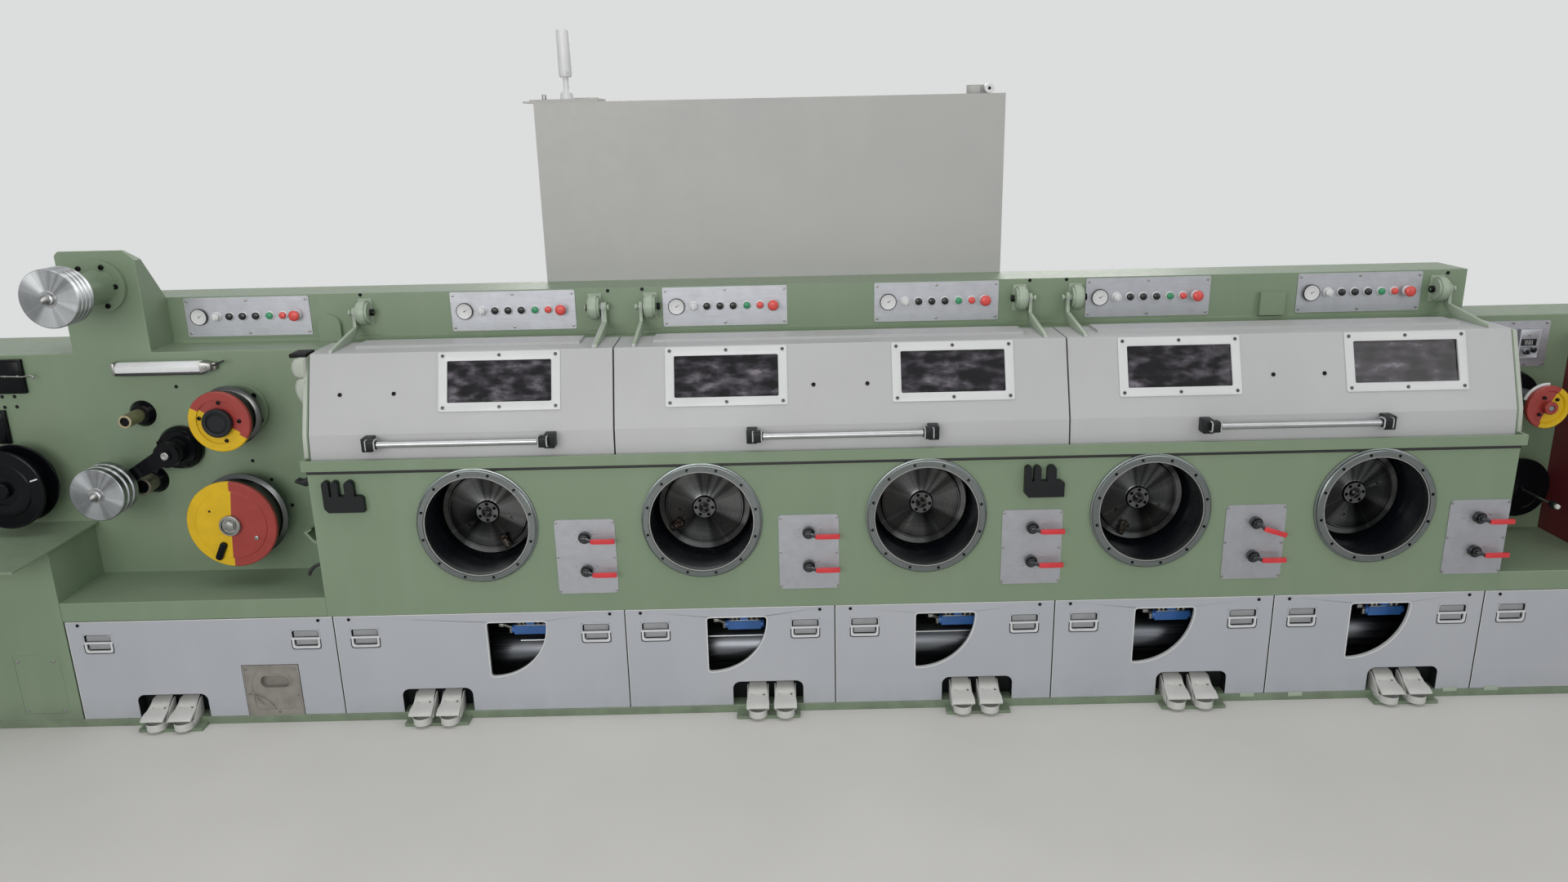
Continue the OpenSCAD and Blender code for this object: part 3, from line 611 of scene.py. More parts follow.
# %% Axes and metals
SHEAVE_P, DANCER_P, DANCER_V = (-2949, 1611), (-2756, 1005), (-212, -112)
UPPER_P, LOWER_P = (-2509, 1144), (-2521, 759)
ROLLER_P, ROLLER2_P, REEL_P = (-2883, 1135), (-2883, 878), (-3340, 901)
RWHEEL_P, RDISC_P = (2314, 1060), (2382, 686)
FREE_P = (DANCER_P[0] + DANCER_V[0], DANCER_P[1] + DANCER_V[1])
EVEN, BACKWARDS = (1, 1, 1), (1, 0.05, 1)

ring_steel = turned_metal("turned_steel_ring", "#7d8382", "#737979", 0.28, aniso=0.5)
capstan_steel = turned_metal("hardened_turned_capstan_steel", "#4b4d4d", "#424343", 0.26,
                             stain=0.12, fan_highlights=0.6)
hub_steel = turned_metal("turned_capstan_hub_steel", "#646666", "#5a5c5c", 0.28)
sheave_alloy = turned_metal("turned_aluminium_sheave", "#a5a8aa", "#9da0a2", 0.33,
                            SHEAVE_P, 16, fan_highlights=0.3)
dancer_alloy = turned_metal("turned_aluminium_dancer_sheave", "#a0a3a6", "#989b9e", 0.33,
                            FREE_P, 16, fan_highlights=0.3)
upper_steel = turned_metal("turned_steel_upper_barrel", "#5b5d5c", "#4e5050", 0.24,
                           UPPER_P, 6)
lower_steel = turned_metal("turned_steel_lower_barrel", "#585a5a", "#4c4e4e", 0.24,
                           LOWER_P, 6)
steel = drawn_metal("drawn_steel_tube", "#acaeb0", 0.3)
bright_steel = drawn_metal("bright_zinc_screws", "#a9aaa9", 0.3, 2, EVEN)
dark_steel = drawn_metal("black_oxide_screws", "#1b1b1c", 0.42, 2, EVEN)
bronze = drawn_metal("browned_steel_clamp", "#251e1a", 0.32, 4, EVEN, 0.3)
brass = drawn_metal("aged_brass_tube", "#aaa184", 0.4, 3, BACKWARDS, 0.2)
aged_tube = drawn_metal("dull_bronze_tube", "#9d9688", 0.42, 3, BACKWARDS, 0.3)
dark_zinc = drawn_metal("dark_phosphated_spindle", "#4b4d50", 0.34, 4, EVEN, 0.2)
zinc = drawn_metal("zinc_plated_fitting", "#9b9b98", 0.35, 4, EVEN, 0.2)
pipe_steel = drawn_metal("polished_steel_pipe", "#5c5f64", 0.3, 6, (0.02, 1, 1), 0.2)
plate_alloy = drawn_metal("satin_anodised_plate", "#a9abb1", 0.5, 2.5, (0.03, 1, 1))
pulley_steel = drawn_metal("ground_pulley_steel", "#8b8e90", 0.38, 3, EVEN, 0.2)
print("metals ready")

# %% [markdown]
# ## Plastics, rubber and acrylic
# Handle ends, knobs and pedals are moulded ABS with a fine spark-eroded grain.
# Lever sleeves are dipped PVC, soft and slightly glossy. The windows are smoked
# acrylic, which darkens what lies behind it and picks up pale wipe marks and
# fine scratches, and is duller and less clear where they lie.

# %% Moulded finishes


def moulded(name, colour, rough, grain_mm=3.0, depth_mm=0.05, patch="#000000",
            patch_share=0.12, shine=0.5):
    """Moulded plastic with a fine grain and slight handling marks."""
    mat, tree, shader, place = finish_of(name, colour, rough, Specular_IOR_Level=shine)
    tone = patched(tree, srgb(colour), patch, place, 45, 0.4, 0.75, patch_share)
    fine = add(tree, "TexNoise", {"Vector": place, "Scale": 1000 / grain_mm, "Detail": 2})
    surfaced(tree, shader, tone, fine, rough - 0.05, rough + 0.06, fine, depth_mm, 0.4)
    return mat


black_abs = moulded("black_moulded_abs", "#15181a", 0.42, shine=0.25)
white_abs = moulded("off_white_moulded_abs", "#bdbebb", 0.46, patch="#7e7c74")
knob_white = moulded("white_knob_abs", "#cdced0", 0.34, patch="#8e8e8c")
grey_cast = moulded("grey_cast_housing", "#85827c", 0.5, patch="#5f5b55", patch_share=0.5,
                    grain_mm=5, depth_mm=0.15)
red_pvc = moulded("red_dipped_pvc", "#c8323a", 0.34, patch="#7c1510", patch_share=0.2)
button_red = moulded("red_push_cap", "#cf4a45", 0.28, patch="#7c1510")
button_green = moulded("green_push_cap", "#2f8a5f", 0.28)
button_black = moulded("black_push_cap", "#101113", 0.2)
dial_white = moulded("white_dial_card", "#d0d1d2", 0.4, patch="#9a9a98")
lamp_white = moulded("white_lamp_diffuser", "#d6d8da", 0.28, patch="#a9acb0")
# The near-black matte bore finish is painted shade: it stands where holes, slots, gaps and
# sunk heads look dark from shade.
painted_shade_dark = moulded("painted_shade_bore", "#0a0b0b", 0.6, shine=0.2)
pull_grey = moulded("grey_moulded_pocket", "#8f9193", 0.45)
well_black = moulded("oiled_dark_well_lining", "#0d1219", 0.3, grain_mm=40,
                     patch="#090d13", patch_share=0.6)
hose_black = moulded("black_rubber_hose", "#1c1d1e", 0.5)


def acrylic(name):
    mat, tree, shader, place = finish_of(name, "#7f7a83", 0.06, IOR=1.4,
                                         Specular_IOR_Level=0.12)
    smear = add(tree, "Mapping", {"Vector": place, "Scale": (1, 1, 2.2)})
    smear = add(tree, "TexNoise", {"Vector": smear, "Scale": 1000 / 70, "Detail": 5})
    scratch = add(tree, "Mapping", {"Vector": place, "Rotation": (0, 0.7, 0),
                                    "Scale": (1, 1, 0.05)})
    scratch = add(tree, "TexNoise", {"Vector": scratch, "Scale": 1000 / 7, "Detail": 1})
    scratch = add(tree, "MapRange", {"Value": scratch, "From Min": 0.76,
                                     "From Max": 0.8, "To Max": 0.4})
    marks = add(tree, "MapRange", {"Value": smear, "From Min": 0.42, "From Max": 0.78})
    marks = add(tree, "Math", {0: marks, 1: scratch}, operation="ADD", use_clamp=True)
    gloss = add(tree, "MapRange", {"Value": marks, "To Min": 0.03, "To Max": 0.35})
    tone = add(tree, "Mix", {0: marks, 6: srgb("#3c3943"), 7: srgb("#8d8891")},
               data_type="RGBA")
    clear = add(tree, "MapRange", {"Value": marks, "To Min": 0.92, "To Max": 0.25})
    for value, socket in ((gloss.outputs[0], "Roughness"), (tone.outputs[2], "Base Color"),
                          (clear.outputs[0], "Transmission Weight")):
        tree.links.new(value, shader.inputs[socket])
    return mat


smoked = acrylic("smoked_cast_acrylic")
print("materials:", len(bpy.data.materials))

# %% [markdown]
# ## Dressing the frame's own nodes
# A node whose shape is right keeps it and gets a finish. Folded sheet and
# machined edges are never knife sharp, so each node also gets a small live
# bevel: the triangles are welded, then edges steeper than 32 degrees are
# broken by a millimetre or two. The mesh itself is not touched.

# %% Finish and edge break for every node
FINISHES = (
    (green, 3, "main_body left_housing right_housing console left_tray right_bench"),
    (green, 2, "plinth front_housing feed_block wheel_flanges"),
    (green, 1.5, "cover_shelf"),
    (pale_green, 1.2, "hinge_brackets"),
    (panel_grey, 0.8, "lower_panels panel_pulls"),
    (cover_grey, 1.2, "cover_1 cover_2 cover_3"),
    (smoked, 0, "window_panes_1 window_panes_2 window_panes_3"),
    (cabinet_white, 2.5, "electrical_cabinet"),
    (plate_alloy, 0.8, "control_plates valve_plates"),
    (plate_alloy, 1, "counter_plate"),
    (pipe_steel, 2, "coolant_pipe"),
    (valve_blue, 1, "blue_valves"),
    (grey_cast, 2, "inset_box"),
    (black_abs, 0.6, "control_buttons"),
    (black_abs, 2.5, "tool_holders"),
    (black_abs, 3, "sensor_boxes"),
    (white_abs, 2, "foot_switches"),
    (lamp_white, 1.5, "lamp_bar"),
    (guard_red, 1.5, "red_guard"),
    (gloss_black, 1.5, "spindle_discs"),
    (gloss_black, 2, "dancer_arm"),
    (gloss_black, 0, "left_reel right_disc"),
    (pulley_steel, 0, "bay_pulleys"),
    (ring_steel, 0, "capstan_wells"),
    (sheave_alloy, 0, "top_sheave"),
    (dancer_alloy, 0, "dancer_sheave"),
    (wheel_red, 0, "upper_wheel right_wheel"),
    (wheel_yellow, 0, "lower_wheel"),
    (capstan_steel, 0, " ".join(f"capstan_{i}" for i in range(1, 6))),
    (red_pvc, 0.8, " ".join(f"valve_lever_{i}{k}" for i in range(1, 6) for k in "ab")))

for material, edge_mm, names in FINISHES:
    for name in names.split():
        obj = nodes[name]
        obj.data.materials.clear()
        obj.data.materials.append(material)
        if edge_mm:
            obj.modifiers.new("weld", "WELD").merge_threshold = 2e-5
            edge_break(obj, "edge", edge_mm, 2, 32)
print("dressed nodes:", sum(bool(o.data.materials) for o in nodes.values()))

# %% [markdown]
# ## Screws
# Nearly every plate on the machine is held by socket or button screws of a few
# sizes. A screw head could be one disc, but light catches its rounded rim and
# the dark drive in the middle, so each size is made once: a short bar, its rim
# broken by a bevel, with a hexagon cut into it. All stand on y = 0 at the
# origin and are copied to their places.

# %% Screw heads


def screws(name, material, r, rise, moves, rim=0.4, body="machine"):
    """Heads of a radius and rise in mm, at places in mm or by moves."""
    head = bar("head", (0, 0.4, 0), (0, -rise, 0), r, 20)
    eased(head, rise * rim, 2)
    drive = bar("drive", (0, -rise * 0.3, 0), (0, -rise - 2, 0), r * 0.52, 6)
    smooth(bored(head, [drive]), 35)
    moves = [move if isinstance(move, Matrix) else put(*move) for move in moves]
    return dress(spread(name, head, moves), material, body)


# %% [markdown]
# ## Clamping rings and wells
# Every capstan stands in a deep round well, rimmed by a turned steel ring with
# twelve sunk screws. A lathe part is best made as the lathe makes it: its half
# section is drawn once and spun round the axis. The step inside the rim draws
# one bright line; the thin lip behind it is turned in brighter steel, a painted
# highlight for the second.

# %% Ring, lining and lip
WELL = [put(x, 0, CAP_Z) for x in CAP_X]
RING_TURNS = [put(0, 0, 0, spin=30 * k + 13) for k in range(12)]
RING_R = 198

ring = turned("ring", (0, 0), [
    (183, -13), (184.5, -15.5), (188, -15.5), (189.5, -20), (207, -20), (211, -16.5),
    (211, -7), (212, -6.6), (215, -6), (216, -5), (216, 0), (187.3, 0), (187.3, 6),
    (183, 6), (183, -13)], 96)
hole = bar("hole", (RING_R, -24, 0), (RING_R, -12, 0), 5.8, 20)
smooth(bored(ring, [spread("holes", hole, RING_TURNS)]), 30)
rings = dress(spread("clamping_rings", ring, WELL), ring_steel)
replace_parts(rings, "capstan_wells")
lining = turned("lining", (0, 0), [(183.2, 1), (187, 1), (187, 258), (0, 258), (0, 254),
                                   (160, 254), (183.2, 250), (183.2, 1)], 96)
dress(spread("well_linings", smooth(lining, 30), WELL), well_black)
# The sunk heads are black oxide screws in the near-black bore finish, darkened further as
# painted shade of their holes.
screws("ring_screws", painted_shade_dark, 4.9, 3.4, [
    well @ turn @ put(RING_R, -11, 0) for well in WELL for turn in RING_TURNS], 0.25)
# The thin lip is brighter steel than the ring: a painted highlight line.
lip = turned("lip", (0, 0), [(182.8, -12.6), (183.8, -16.2), (187.6, -16.4), (189.4, -15),
                             (188.2, -14.6), (184.6, -14.6), (182.8, -12.6)], 96)
dress(spread("ring_lip_highlights", smooth(lip), WELL), bright_steel)

# %% [markdown]
# ## Capstans
# The capstan is a hardened drum whose face is turned in steps: a hub disc with
# six socket screws, a wide dished face, a bright bead near the rim and two
# tapped holes for the puller. It is spun from one half section as well. The
# steps are kept sharp, because each one draws a bright line round the face.

# %% Capstan and hub plate
HUB = 131
SIX = [put(0, 0, 0, spin=60 * k + 20) for k in range(6)]
HUB_SCREW_R = 31

capstan = turned("capstan", (0, 0), [
    (0, HUB - 1), (9, HUB - 1), (13, HUB + 2), (13, HUB + 9), (17, HUB + 9),
    (18, HUB + 10.5), (22, HUB + 10.5), (23, HUB + 9), (40.5, HUB + 9), (42, HUB + 10.5),
    (42, HUB + 19), (47, HUB + 21.5), (112, HUB + 20.5), (137, HUB + 21),
    (138.5, HUB + 18.5), (143, HUB + 18.2), (144.5, HUB + 22.5), (147, HUB + 24.5),
    (148, HUB + 32), (167, HUB + 28.5), (171, HUB + 31), (171, HUB + 44),
    (151, HUB + 52), (147, 200), (145, 226), (171, 234), (171, 246), (167, 248),
    (42, 248), (42, 253.6), (0, 253.6)], 96)
tapped = spread("taps", bar("tap", (0, HUB, 0), (0, HUB + 18, 0), 6.5, 18),
                [turn @ put(HUB_SCREW_R, 0, 0) for turn in SIX])
pullers = spread("pullers", bar("puller", (0, HUB + 12, 0), (0, HUB + 34, 0), 5.5, 18),
                 [put(0, 0, 0, spin=a) @ put(90, 0, 0) for a in (-27, 207)])
smooth(bored(capstan, [cloned("taps_a", tapped), pullers]), 32)
hub_plate = turned("hub_plate", (0, 0), [
    (20.5, HUB + 9.6), (21.5, HUB + 7.6), (39.4, HUB + 7.6), (40.8, HUB + 9.2),
    (40.8, HUB + 10), (20.5, HUB + 10), (20.5, HUB + 9.6)], 64)
smooth(bored(hub_plate, [tapped]), 32)
print("capstan:", len(capstan.data.polygons), "faces")

# %% [markdown]
# ## Wire clamps on the capstans
# Three capstans still carry the small browned clamp that grips a wire end while
# the machine is being threaded: a fork of two cheeks on a foot, crossed by a
# bolt. The fork is a block whose middle is cut away, so its edges can be broken
# like those of a filed part. The capstans stand turned as the picture has them.

# %% Clamp master and the five capstans
SPINS = (9, -21, 34, 5, 48)
CLAMPS = {1: (130, -63), 2: (124, 212), 4: (127, 246)}

foot = block("foot", (-13, HUB + 2, -26), (13, HUB + 21, 26))
notch = block("notch", (-5.5, HUB - 6, -30), (5.5, HUB + 11, 14))
eased(bored(foot, [notch]), 1.6)
pin = bar("pin", (-17, HUB + 7, -15), (17, HUB + 7, -15), 4, 16)
nut = eased(bar("nut", (-19, HUB + 7, -15), (-13, HUB + 7, -15), 7, 6), 0.8)
knurl = eased(bar("knurl", (0, HUB - 5, 17), (0, HUB + 4, 17), 8, 20), 1.2)
clamp = one("clamp", [foot, pin, nut, knurl])
for i, (well, spin) in enumerate(zip(WELL, SPINS), 1):
    body = f"capstan_body_{i}"
    turn = well @ put(0, 0, 0, spin=spin)
    piece = cloned(f"turned_capstan_{i}", capstan, turn)
    dress(piece, capstan_steel, body)
    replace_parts(piece, f"capstan_{i}")
    screws(f"hub_screws_{i}", dark_steel, 5.6, 3,
           [turn @ sixth @ put(HUB_SCREW_R, HUB + 16, 0) for sixth in SIX], body=body)
    dress(cloned(f"capstan_hub_plate_{i}", hub_plate, turn), hub_steel, body)
    if i in CLAMPS:
        reach, angle = CLAMPS[i]
        out = well @ put(0, 0, 0, spin=angle) @ put(reach, 0, 0, spin=-90)
        dress(cloned(f"wire_clamp_{i}", clamp, out), bronze, body)
for master in (capstan, hub_plate, clamp):
    bpy.data.objects.remove(master)

# %% [markdown]
# ## Window frames and cover screws
# A white enamelled frame clamps each smoked pane to the sloping cover, with six
# button screws. Its opening is cut through a rounded slab, and it sits a hair
# larger than the frame's own, so the two faces never fight. The whole set is
# made standing upright and leaned back with the slope.

# %% Window frames
SLOPE = math.atan2(103, 270)
SLOPE_Y, SLOPE_Z = 99.87, 1271.4
PANE_W, PANE_H, BAND, THICK = 367.4, 148.4, 31.6, 4.4
WIN_X = [x + 100 for x in CAP_X]
WINDOWS = {1: (0,), 2: (1, 2), 3: (3, 4)}
COVER_SCREWS, COVER_SCREW_Z = {1: (-2062, -1872), 2: (-393, -203), 3: (1229, 1410)}, 1236.6


def lean(x, up=0.0, out=0.0):
    """The move onto the cover's slope: x, distance up the slope, out from it."""
    return put(x, SLOPE_Y + up * math.sin(SLOPE) - out * math.cos(SLOPE),
               SLOPE_Z + up * math.cos(SLOPE) + out * math.sin(SLOPE),
               tilt=math.degrees(SLOPE))


slab = softened(block("slab", (-PANE_W / 2 - BAND, -THICK, -PANE_H / 2 - BAND),
                      (PANE_W / 2 + BAND, 0, PANE_H / 2 + BAND)), 6)
hole = softened(block("hole", (-PANE_W / 2, -THICK - 5, -PANE_H / 2),
                      (PANE_W / 2, 5, PANE_H / 2)), 5)
eased(bored(slab, [hole]), 1.0)
for c, windows in WINDOWS.items():
    body = f"cover_body_{c}"
    made = [cloned("part", slab, lean(WIN_X[w])) for w in windows]
    dress(one(f"window_frames_{c}", made), frame_white, body)
    screws(f"window_screws_{c}", dark_zinc, 6.2, 2.6, [
        lean(WIN_X[w] + dx, dz, 4.3) for w in windows for dz in (92, -92)
        for dx in (-199, 0, 199)], 0.5, body)
    screws(f"cover_screws_{c}", dark_steel, 7.5, 3.5, [
        lean(x, (COVER_SCREW_Z - SLOPE_Z) / math.cos(SLOPE)) for x in COVER_SCREWS[c]],
           0.5, body)
bpy.data.objects.remove(slab)

# %% [markdown]
# ## Cover handles
# Each cover is lifted by a drawn steel tube between two moulded end pieces: a
# square foot screwed to the skirt, and a rounded socket that takes the tube.
# The moulded parts are blocks with generous soft edges. They are placed over
# the frame's plain ones, a little larger.

# %% Handles
COVER_MID = [-1635.5, -296, 1294.5]
GRIP_Y, GRIP_Z = -22, 1082
for c, mid in enumerate(COVER_MID, 1):
    body = f"cover_body_{c}"
    parts = []
    for s in (-1, 1):
        x = mid + s * 317
        pad = block("pad", (x - 18.6, -18, 1053.6), (x + 18.6, 34, 1102.4))
        xs = mid + s * 298
        grip = block("grip", (xs - 18, -41.2, 1062), (xs + 18, -2, 1102))
        collar = bar("collar", (xs - s * 17, GRIP_Y, GRIP_Z),
                     (xs - s * 20.4, GRIP_Y, GRIP_Z), 14.5, 32)
        parts += [eased(pad, 3, 3), eased(grip, 9, 4), eased(collar, 1.2)]
    dress(one(f"handle_ends_{c}", parts), black_abs, body)
    tube = bar(f"handle_tube_{c}", (mid - 279, GRIP_Y, GRIP_Z), (mid + 279, GRIP_Y, GRIP_Z),
               11.5, 40)
    pick(tube, lambda p, n: abs(n.x) > 0.9)
    bpy.ops.mesh.inset(thickness=1.4 * MM)
    dress(smooth(tube), steel, body)

# %% [markdown]
# ## Hinge arms and lugs
# The arms that carry the covers are flat bars, cranked from the cover's top up
# to the pin, painted the pale green of the castings. Their outline is drawn in
# the side view and drawn out by the bar's thickness. Each pin ends in a cap
# with a hexagon drive on both faces, and one cap closes each end lug.

# %% Hinge arms
ARMS = {1: (-2102, -1163), 2: (-1027, 435), 3: (577, 2012)}
HINGE_Y, HINGE_Z, TOP_Z = 425, 1472, 1374
arm_line = [(148, TOP_Z + 0.5), (155, TOP_Z + 10.5), (HINGE_Y - 17.6, TOP_Z + 46.6),
            (HINGE_Y - 15.6, HINGE_Z)]
arm_line += [(HINGE_Y - 19.6 * math.cos(a * math.pi / 12),
              HINGE_Z + 19.6 * math.sin(a * math.pi / 12)) for a in range(0, 13)]
arm_line += [(HINGE_Y + 15.6, TOP_Z + 41.6), (HINGE_Y - 25.6, TOP_Z + 15.4),
             (365, TOP_Z + 0.5)]
arm = eased(side_cut("arm", -6.6, arm_line, 13.2), 1.4)
for c, pair in ARMS.items():
    made = [cloned("twin", arm, put(x, 0, 0)) for x in pair]
    dress(one(f"hinge_arms_{c}", made), pale_green, f"cover_body_{c}")
bpy.data.objects.remove(arm)
cap = eased(bar("pin_cap", (-6, HINGE_Y, HINGE_Z), (6, HINGE_Y, HINGE_Z), 13, 28), 1.6, 3)
drives = [bar("drive", (s * 2.5, HINGE_Y, HINGE_Z), (s * 9, HINGE_Y, HINGE_Z), 6.4, 6)
          for s in (-1, 1)]
dress(spread("pin_caps", smooth(bored(cap, drives), 35), [
    put(x - s * 65, 0, 0) for pair in ARMS.values() for x, s in zip(pair, (-1, 1))]),
      dark_steel)

# %% [markdown]
# ## Control plates
# Each plate on the console carries a round gauge, a white rotary knob, three
# black push buttons, a green and a red one, and a red mushroom stop. A button
# is a bezel nut with a domed cap in it: the cap is a short bar whose front edge
# is rounded well over, the nut is spun from a small section.

# %% Bezels, gauge and knob
PLATE_X = [-2515] + [x + 87 for x in CAP_X]
PLATE_W, FACE_Y, ROW_Z = 470, 452, 1465
PLACES = [(f - 0.5) * PLATE_W
          for f in (0.111, 0.248, 0.355, 0.461, 0.567, 0.677, 0.782, 0.888)]
GAUGE, KNOB, STOP = ((PLACES[k], 0) for k in (0, 1, 7))
rows = [put(x, FACE_Y, ROW_Z) for x in PLATE_X]


def domed(name, r, rise, x):
    """A cap with a rounded front, standing out from y = 0."""
    cap = bar(name, (x, 0, 0), (x, -rise, 0), r, 32)
    stepped(cap, lambda p, n: n.y < -0.9, r * 0.45, (0, -rise * 0.22, 0))
    return eased(cap, min(rise * 0.25, r * 0.25), 3, 25)


bezel_line = [(13, 0), (16.6, 0), (16.6, -2.6), (15.4, -4.4), (13, -4.8), (13, 0)]
bezels = one("bezels", [turned("bezel", (PLACES[k], 0), bezel_line, 32)
                        for k in range(2, 7)])
rim = turned("rim", GAUGE, [(28.2, 0), (31.4, 0), (31.4, -10), (30.6, -12), (29, -12),
                            (28.2, -10), (28.2, 0)], 48)
knob_ring = turned("knob_ring", KNOB, [(13, 0), (18, 0), (18, -2), (16, -4), (13, -4),
                                       (13, 0)], 32)
knob = bar("knob", (KNOB[0], 0, 0), (KNOB[0], -22, 0), 14, 32)
stepped(knob, lambda p, n: n.y < -0.9, 2, (0, -6, 0), extrude=True)
bpy.ops.transform.resize(value=(0.45, 1, 0.98), center_override=at(KNOB[0], -28, 0))
eased(knob, 1.2)
dial = turned("dial", GAUGE, [(0, -9.6), (24, -9.6), (28.4, -10.6), (28.4, -1), (0, -1)],
              48)
ticks = spread("ticks", block("tick", (-0.35, -10, 19), (0.35, -9.2, 22)),
               [put(0, 0, 0, spin=a) for a in range(-130, 131, 26)])
ticks.data.transform(put(GAUGE[0], 0, 0))
hand = front_cut("hand", -10.6, [(-0.8, -4), (0.8, -4), (0.4, 13), (-0.4, 13)], 1)
hand.data.transform(put(GAUGE[0], 0, 0, spin=-62))
hub = eased(bar("hub", (GAUGE[0], -11.4, 0), (GAUGE[0], -9, 0), 2, 20), 0.6)

# %% Buttons, and the sets copied to every plate
blacks = [domed(f"black_{k}", 13.4, 14, PLACES[k]) for k in (2, 3, 4)]
greens = domed("green", 12.9, 13, PLACES[5])
reds = domed("red", 12.9, 13, PLACES[6])
stem = bar("stem", (STOP[0], 0, 0), (STOP[0], -22, 0), 12, 32)
mushroom = turned("mushroom", STOP, [(0, -34), (9, -34), (16, -32.5), (19.4, -29),
                                     (20.2, -25), (19, -21.5), (12, -20), (0, -20)], 40)
collar = turned("collar", STOP, [(12, 0), (19, 0), (19, -3), (17, -5.5), (12, -5.5),
                                 (12, 0)], 32)
black_set = dress(spread("gauge_rims_and_black_buttons",
                         one("set", [rim, ticks, hand, hub] + blacks), rows),
                  button_black)
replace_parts(black_set, "control_buttons")
for name, master, material in (
        ("dials", smooth(dial), dial_white),
        ("bezels_and_knobs", smooth(one("pale", [bezels, knob_ring, knob, collar])),
         knob_white),
        ("green_buttons", greens, button_green),
        ("red_buttons", smooth(one("red", [reds, stem, mushroom])), button_red)):
    dress(spread(name, master, rows), material)
screws("plate_screws", zinc, 5.2, 2.6, [
    (x + dx, FACE_Y, 1463 + dz) for x in PLATE_X
    for dx, dz in ((-224, 61), (0, 62), (224, 61), (-224, -61), (0, -62), (224, -61))], 0.5)
screws("console_bolts", dark_steel, 6.5, 3, [
    (x, 455, z) for x, z in ((-2084, 1534.7), (-1152.7, 1530), (-1023.3, 1533),
                             (438.6, 1534.7), (577.1, 1534.8), (2016.9, 1528))], 0.3)

# %% [markdown]
# ## Valve plates and levers
# Two quarter-turn valves sit behind a satin plate beside each capstan. Each one
# shows a black ring, a stepped spindle nut and a cranked flat lever in a red
# dipped sleeve. The sleeve is a bar with well rounded ends, thicker than the
# steel it covers; the flat is drawn in the front view and drawn out by 5 mm.
# One lever, the upper one of the fourth bay, droops a little.

# %% Valve plates
VALVE_X, VALVE_Z, STEMS = 379, 641, (718, 590)
collar = turned("collar", (0, 0), [(15.6, -20.6), (20.4, -20.6), (21.6, -19.4),
                                   (21.6, -3.02), (15.6, -3.02), (15.6, -20.6)], 40)
dress(spread("valve_rings", smooth(collar), [put(x + VALVE_X, 0, z) for x in CAP_X
                                             for z in STEMS]), button_black)
screws("valve_plate_screws", zinc, 4.6, 2.2, [
    (x + VALVE_X + 1 + dx, -3, VALVE_Z + dz) for x in CAP_X
    for dx, dz in ((-102, 131), (102, 131), (-102, -131), (102, -131), (-102, 0),
                   (100, -4))], 0.5)
rivet = eased(bar("rivet", (0, 0.2, 0), (0, -1.6, 0), 3.2, 14), 0.8)
dress(spread("plate_rivets", rivet, [
    put(x + VALVE_X + dx, -3, z + dz) for x in CAP_X for z, dx, dz in (
        (718, -35, 12), (718, -52, -3), (718, -32, -17), (718, 42, 12), (590, -40, 14),
        (590, -29, -20), (590, 38, 15))]), bright_steel)

# %% Valve levers
spindle = turned("spindle", (0, 0), [
    (0, -41), (4, -41), (5, -40), (6, -37.6), (9, -37), (9, -30), (14.6, -29.6),
    (15, -28.6), (15, -22), (11, -21.6), (11, -8.4), (0, -8.4)], 32)
hexnut = eased(bar("hexnut", (0, -38.6, 0), (0, -30, 0), 8.6, 6), 0.8)
crank = front_cut("crank", -37.4, [(-9, -7), (12, -8), (24, -13), (56, -13), (56, -3),
                                   (28, -3), (14, 7), (-9, 7)], 4.6)
metal = one("metal", [smooth(spindle, 30), hexnut, eased(crank, 0.8)])
sleeve = block("sleeve", (36, -40.6, -16.5), (103, -30.4, 0.6))
for side, reach, slim in ((-1, 12, 0.86), (1, 6, 0.97), (1, 1.5, 0.86)):
    stepped(sleeve, lambda p, n: n.x * side > 0.9, 0.1, (side * reach, 0, 0), extrude=True)
    bpy.ops.transform.resize(value=(1, slim, slim), center_override=at(70, -35.5, -8))
eased(sleeve, 2.4, 3, 20)
for i, x in enumerate(CAP_X, 1):
    for k, z in zip("ab", STEMS):
        droop = 18 if (i, k) == (4, "a") else 0
        turn = put(x + VALVE_X, 0, z, spin=-droop)
        piece = cloned(f"lever_sleeve_{i}{k}", sleeve, turn)
        dress(piece, red_pvc, f"lever_body_{i}{k}")
        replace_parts(piece, f"valve_lever_{i}{k}")
        dress(cloned(f"lever_steel_{i}{k}", metal, turn), dark_zinc,
              f"lever_body_{i}{k}")
bpy.data.objects.remove(sleeve)
bpy.data.objects.remove(metal)

# %% [markdown]
# ## Lower panels
# Seven powder coated panels close the machine's foot. Each hangs on two small
# dark screws near its top corners, and has two moulded pulls let into it. A
# quarter-round look-in is cut into five of them, its edge folded inwards, and
# that fold takes the whiter frame enamel: a painted highlight all round. The
# fold is drawn as one line of edges, drawn back by 16 mm and thickened like the
# sheet it is.

# %% Panel screws and the hems of the look-ins
SEAM = [-3142, -2163] + [x + o for x, o in zip(CAP_X, (503, 471, 476, 478, 449))]
PANEL_ENDS = SEAM + [2880]
CUT = [x + o for x, o in zip(CAP_X, (-8, 0, -34, -29, -36))]
CUT_Z, CUT_R, CORNER = 390, 222, 12
SCREW_Z = 414
screws("panel_screws", dark_steel, 6, 2.8, [(SEAM[0] + 46, 0, SCREW_Z)] + [
    (x + d, 0, SCREW_Z) for x in SEAM[1:] for d in (-55, 57)], 0.5)

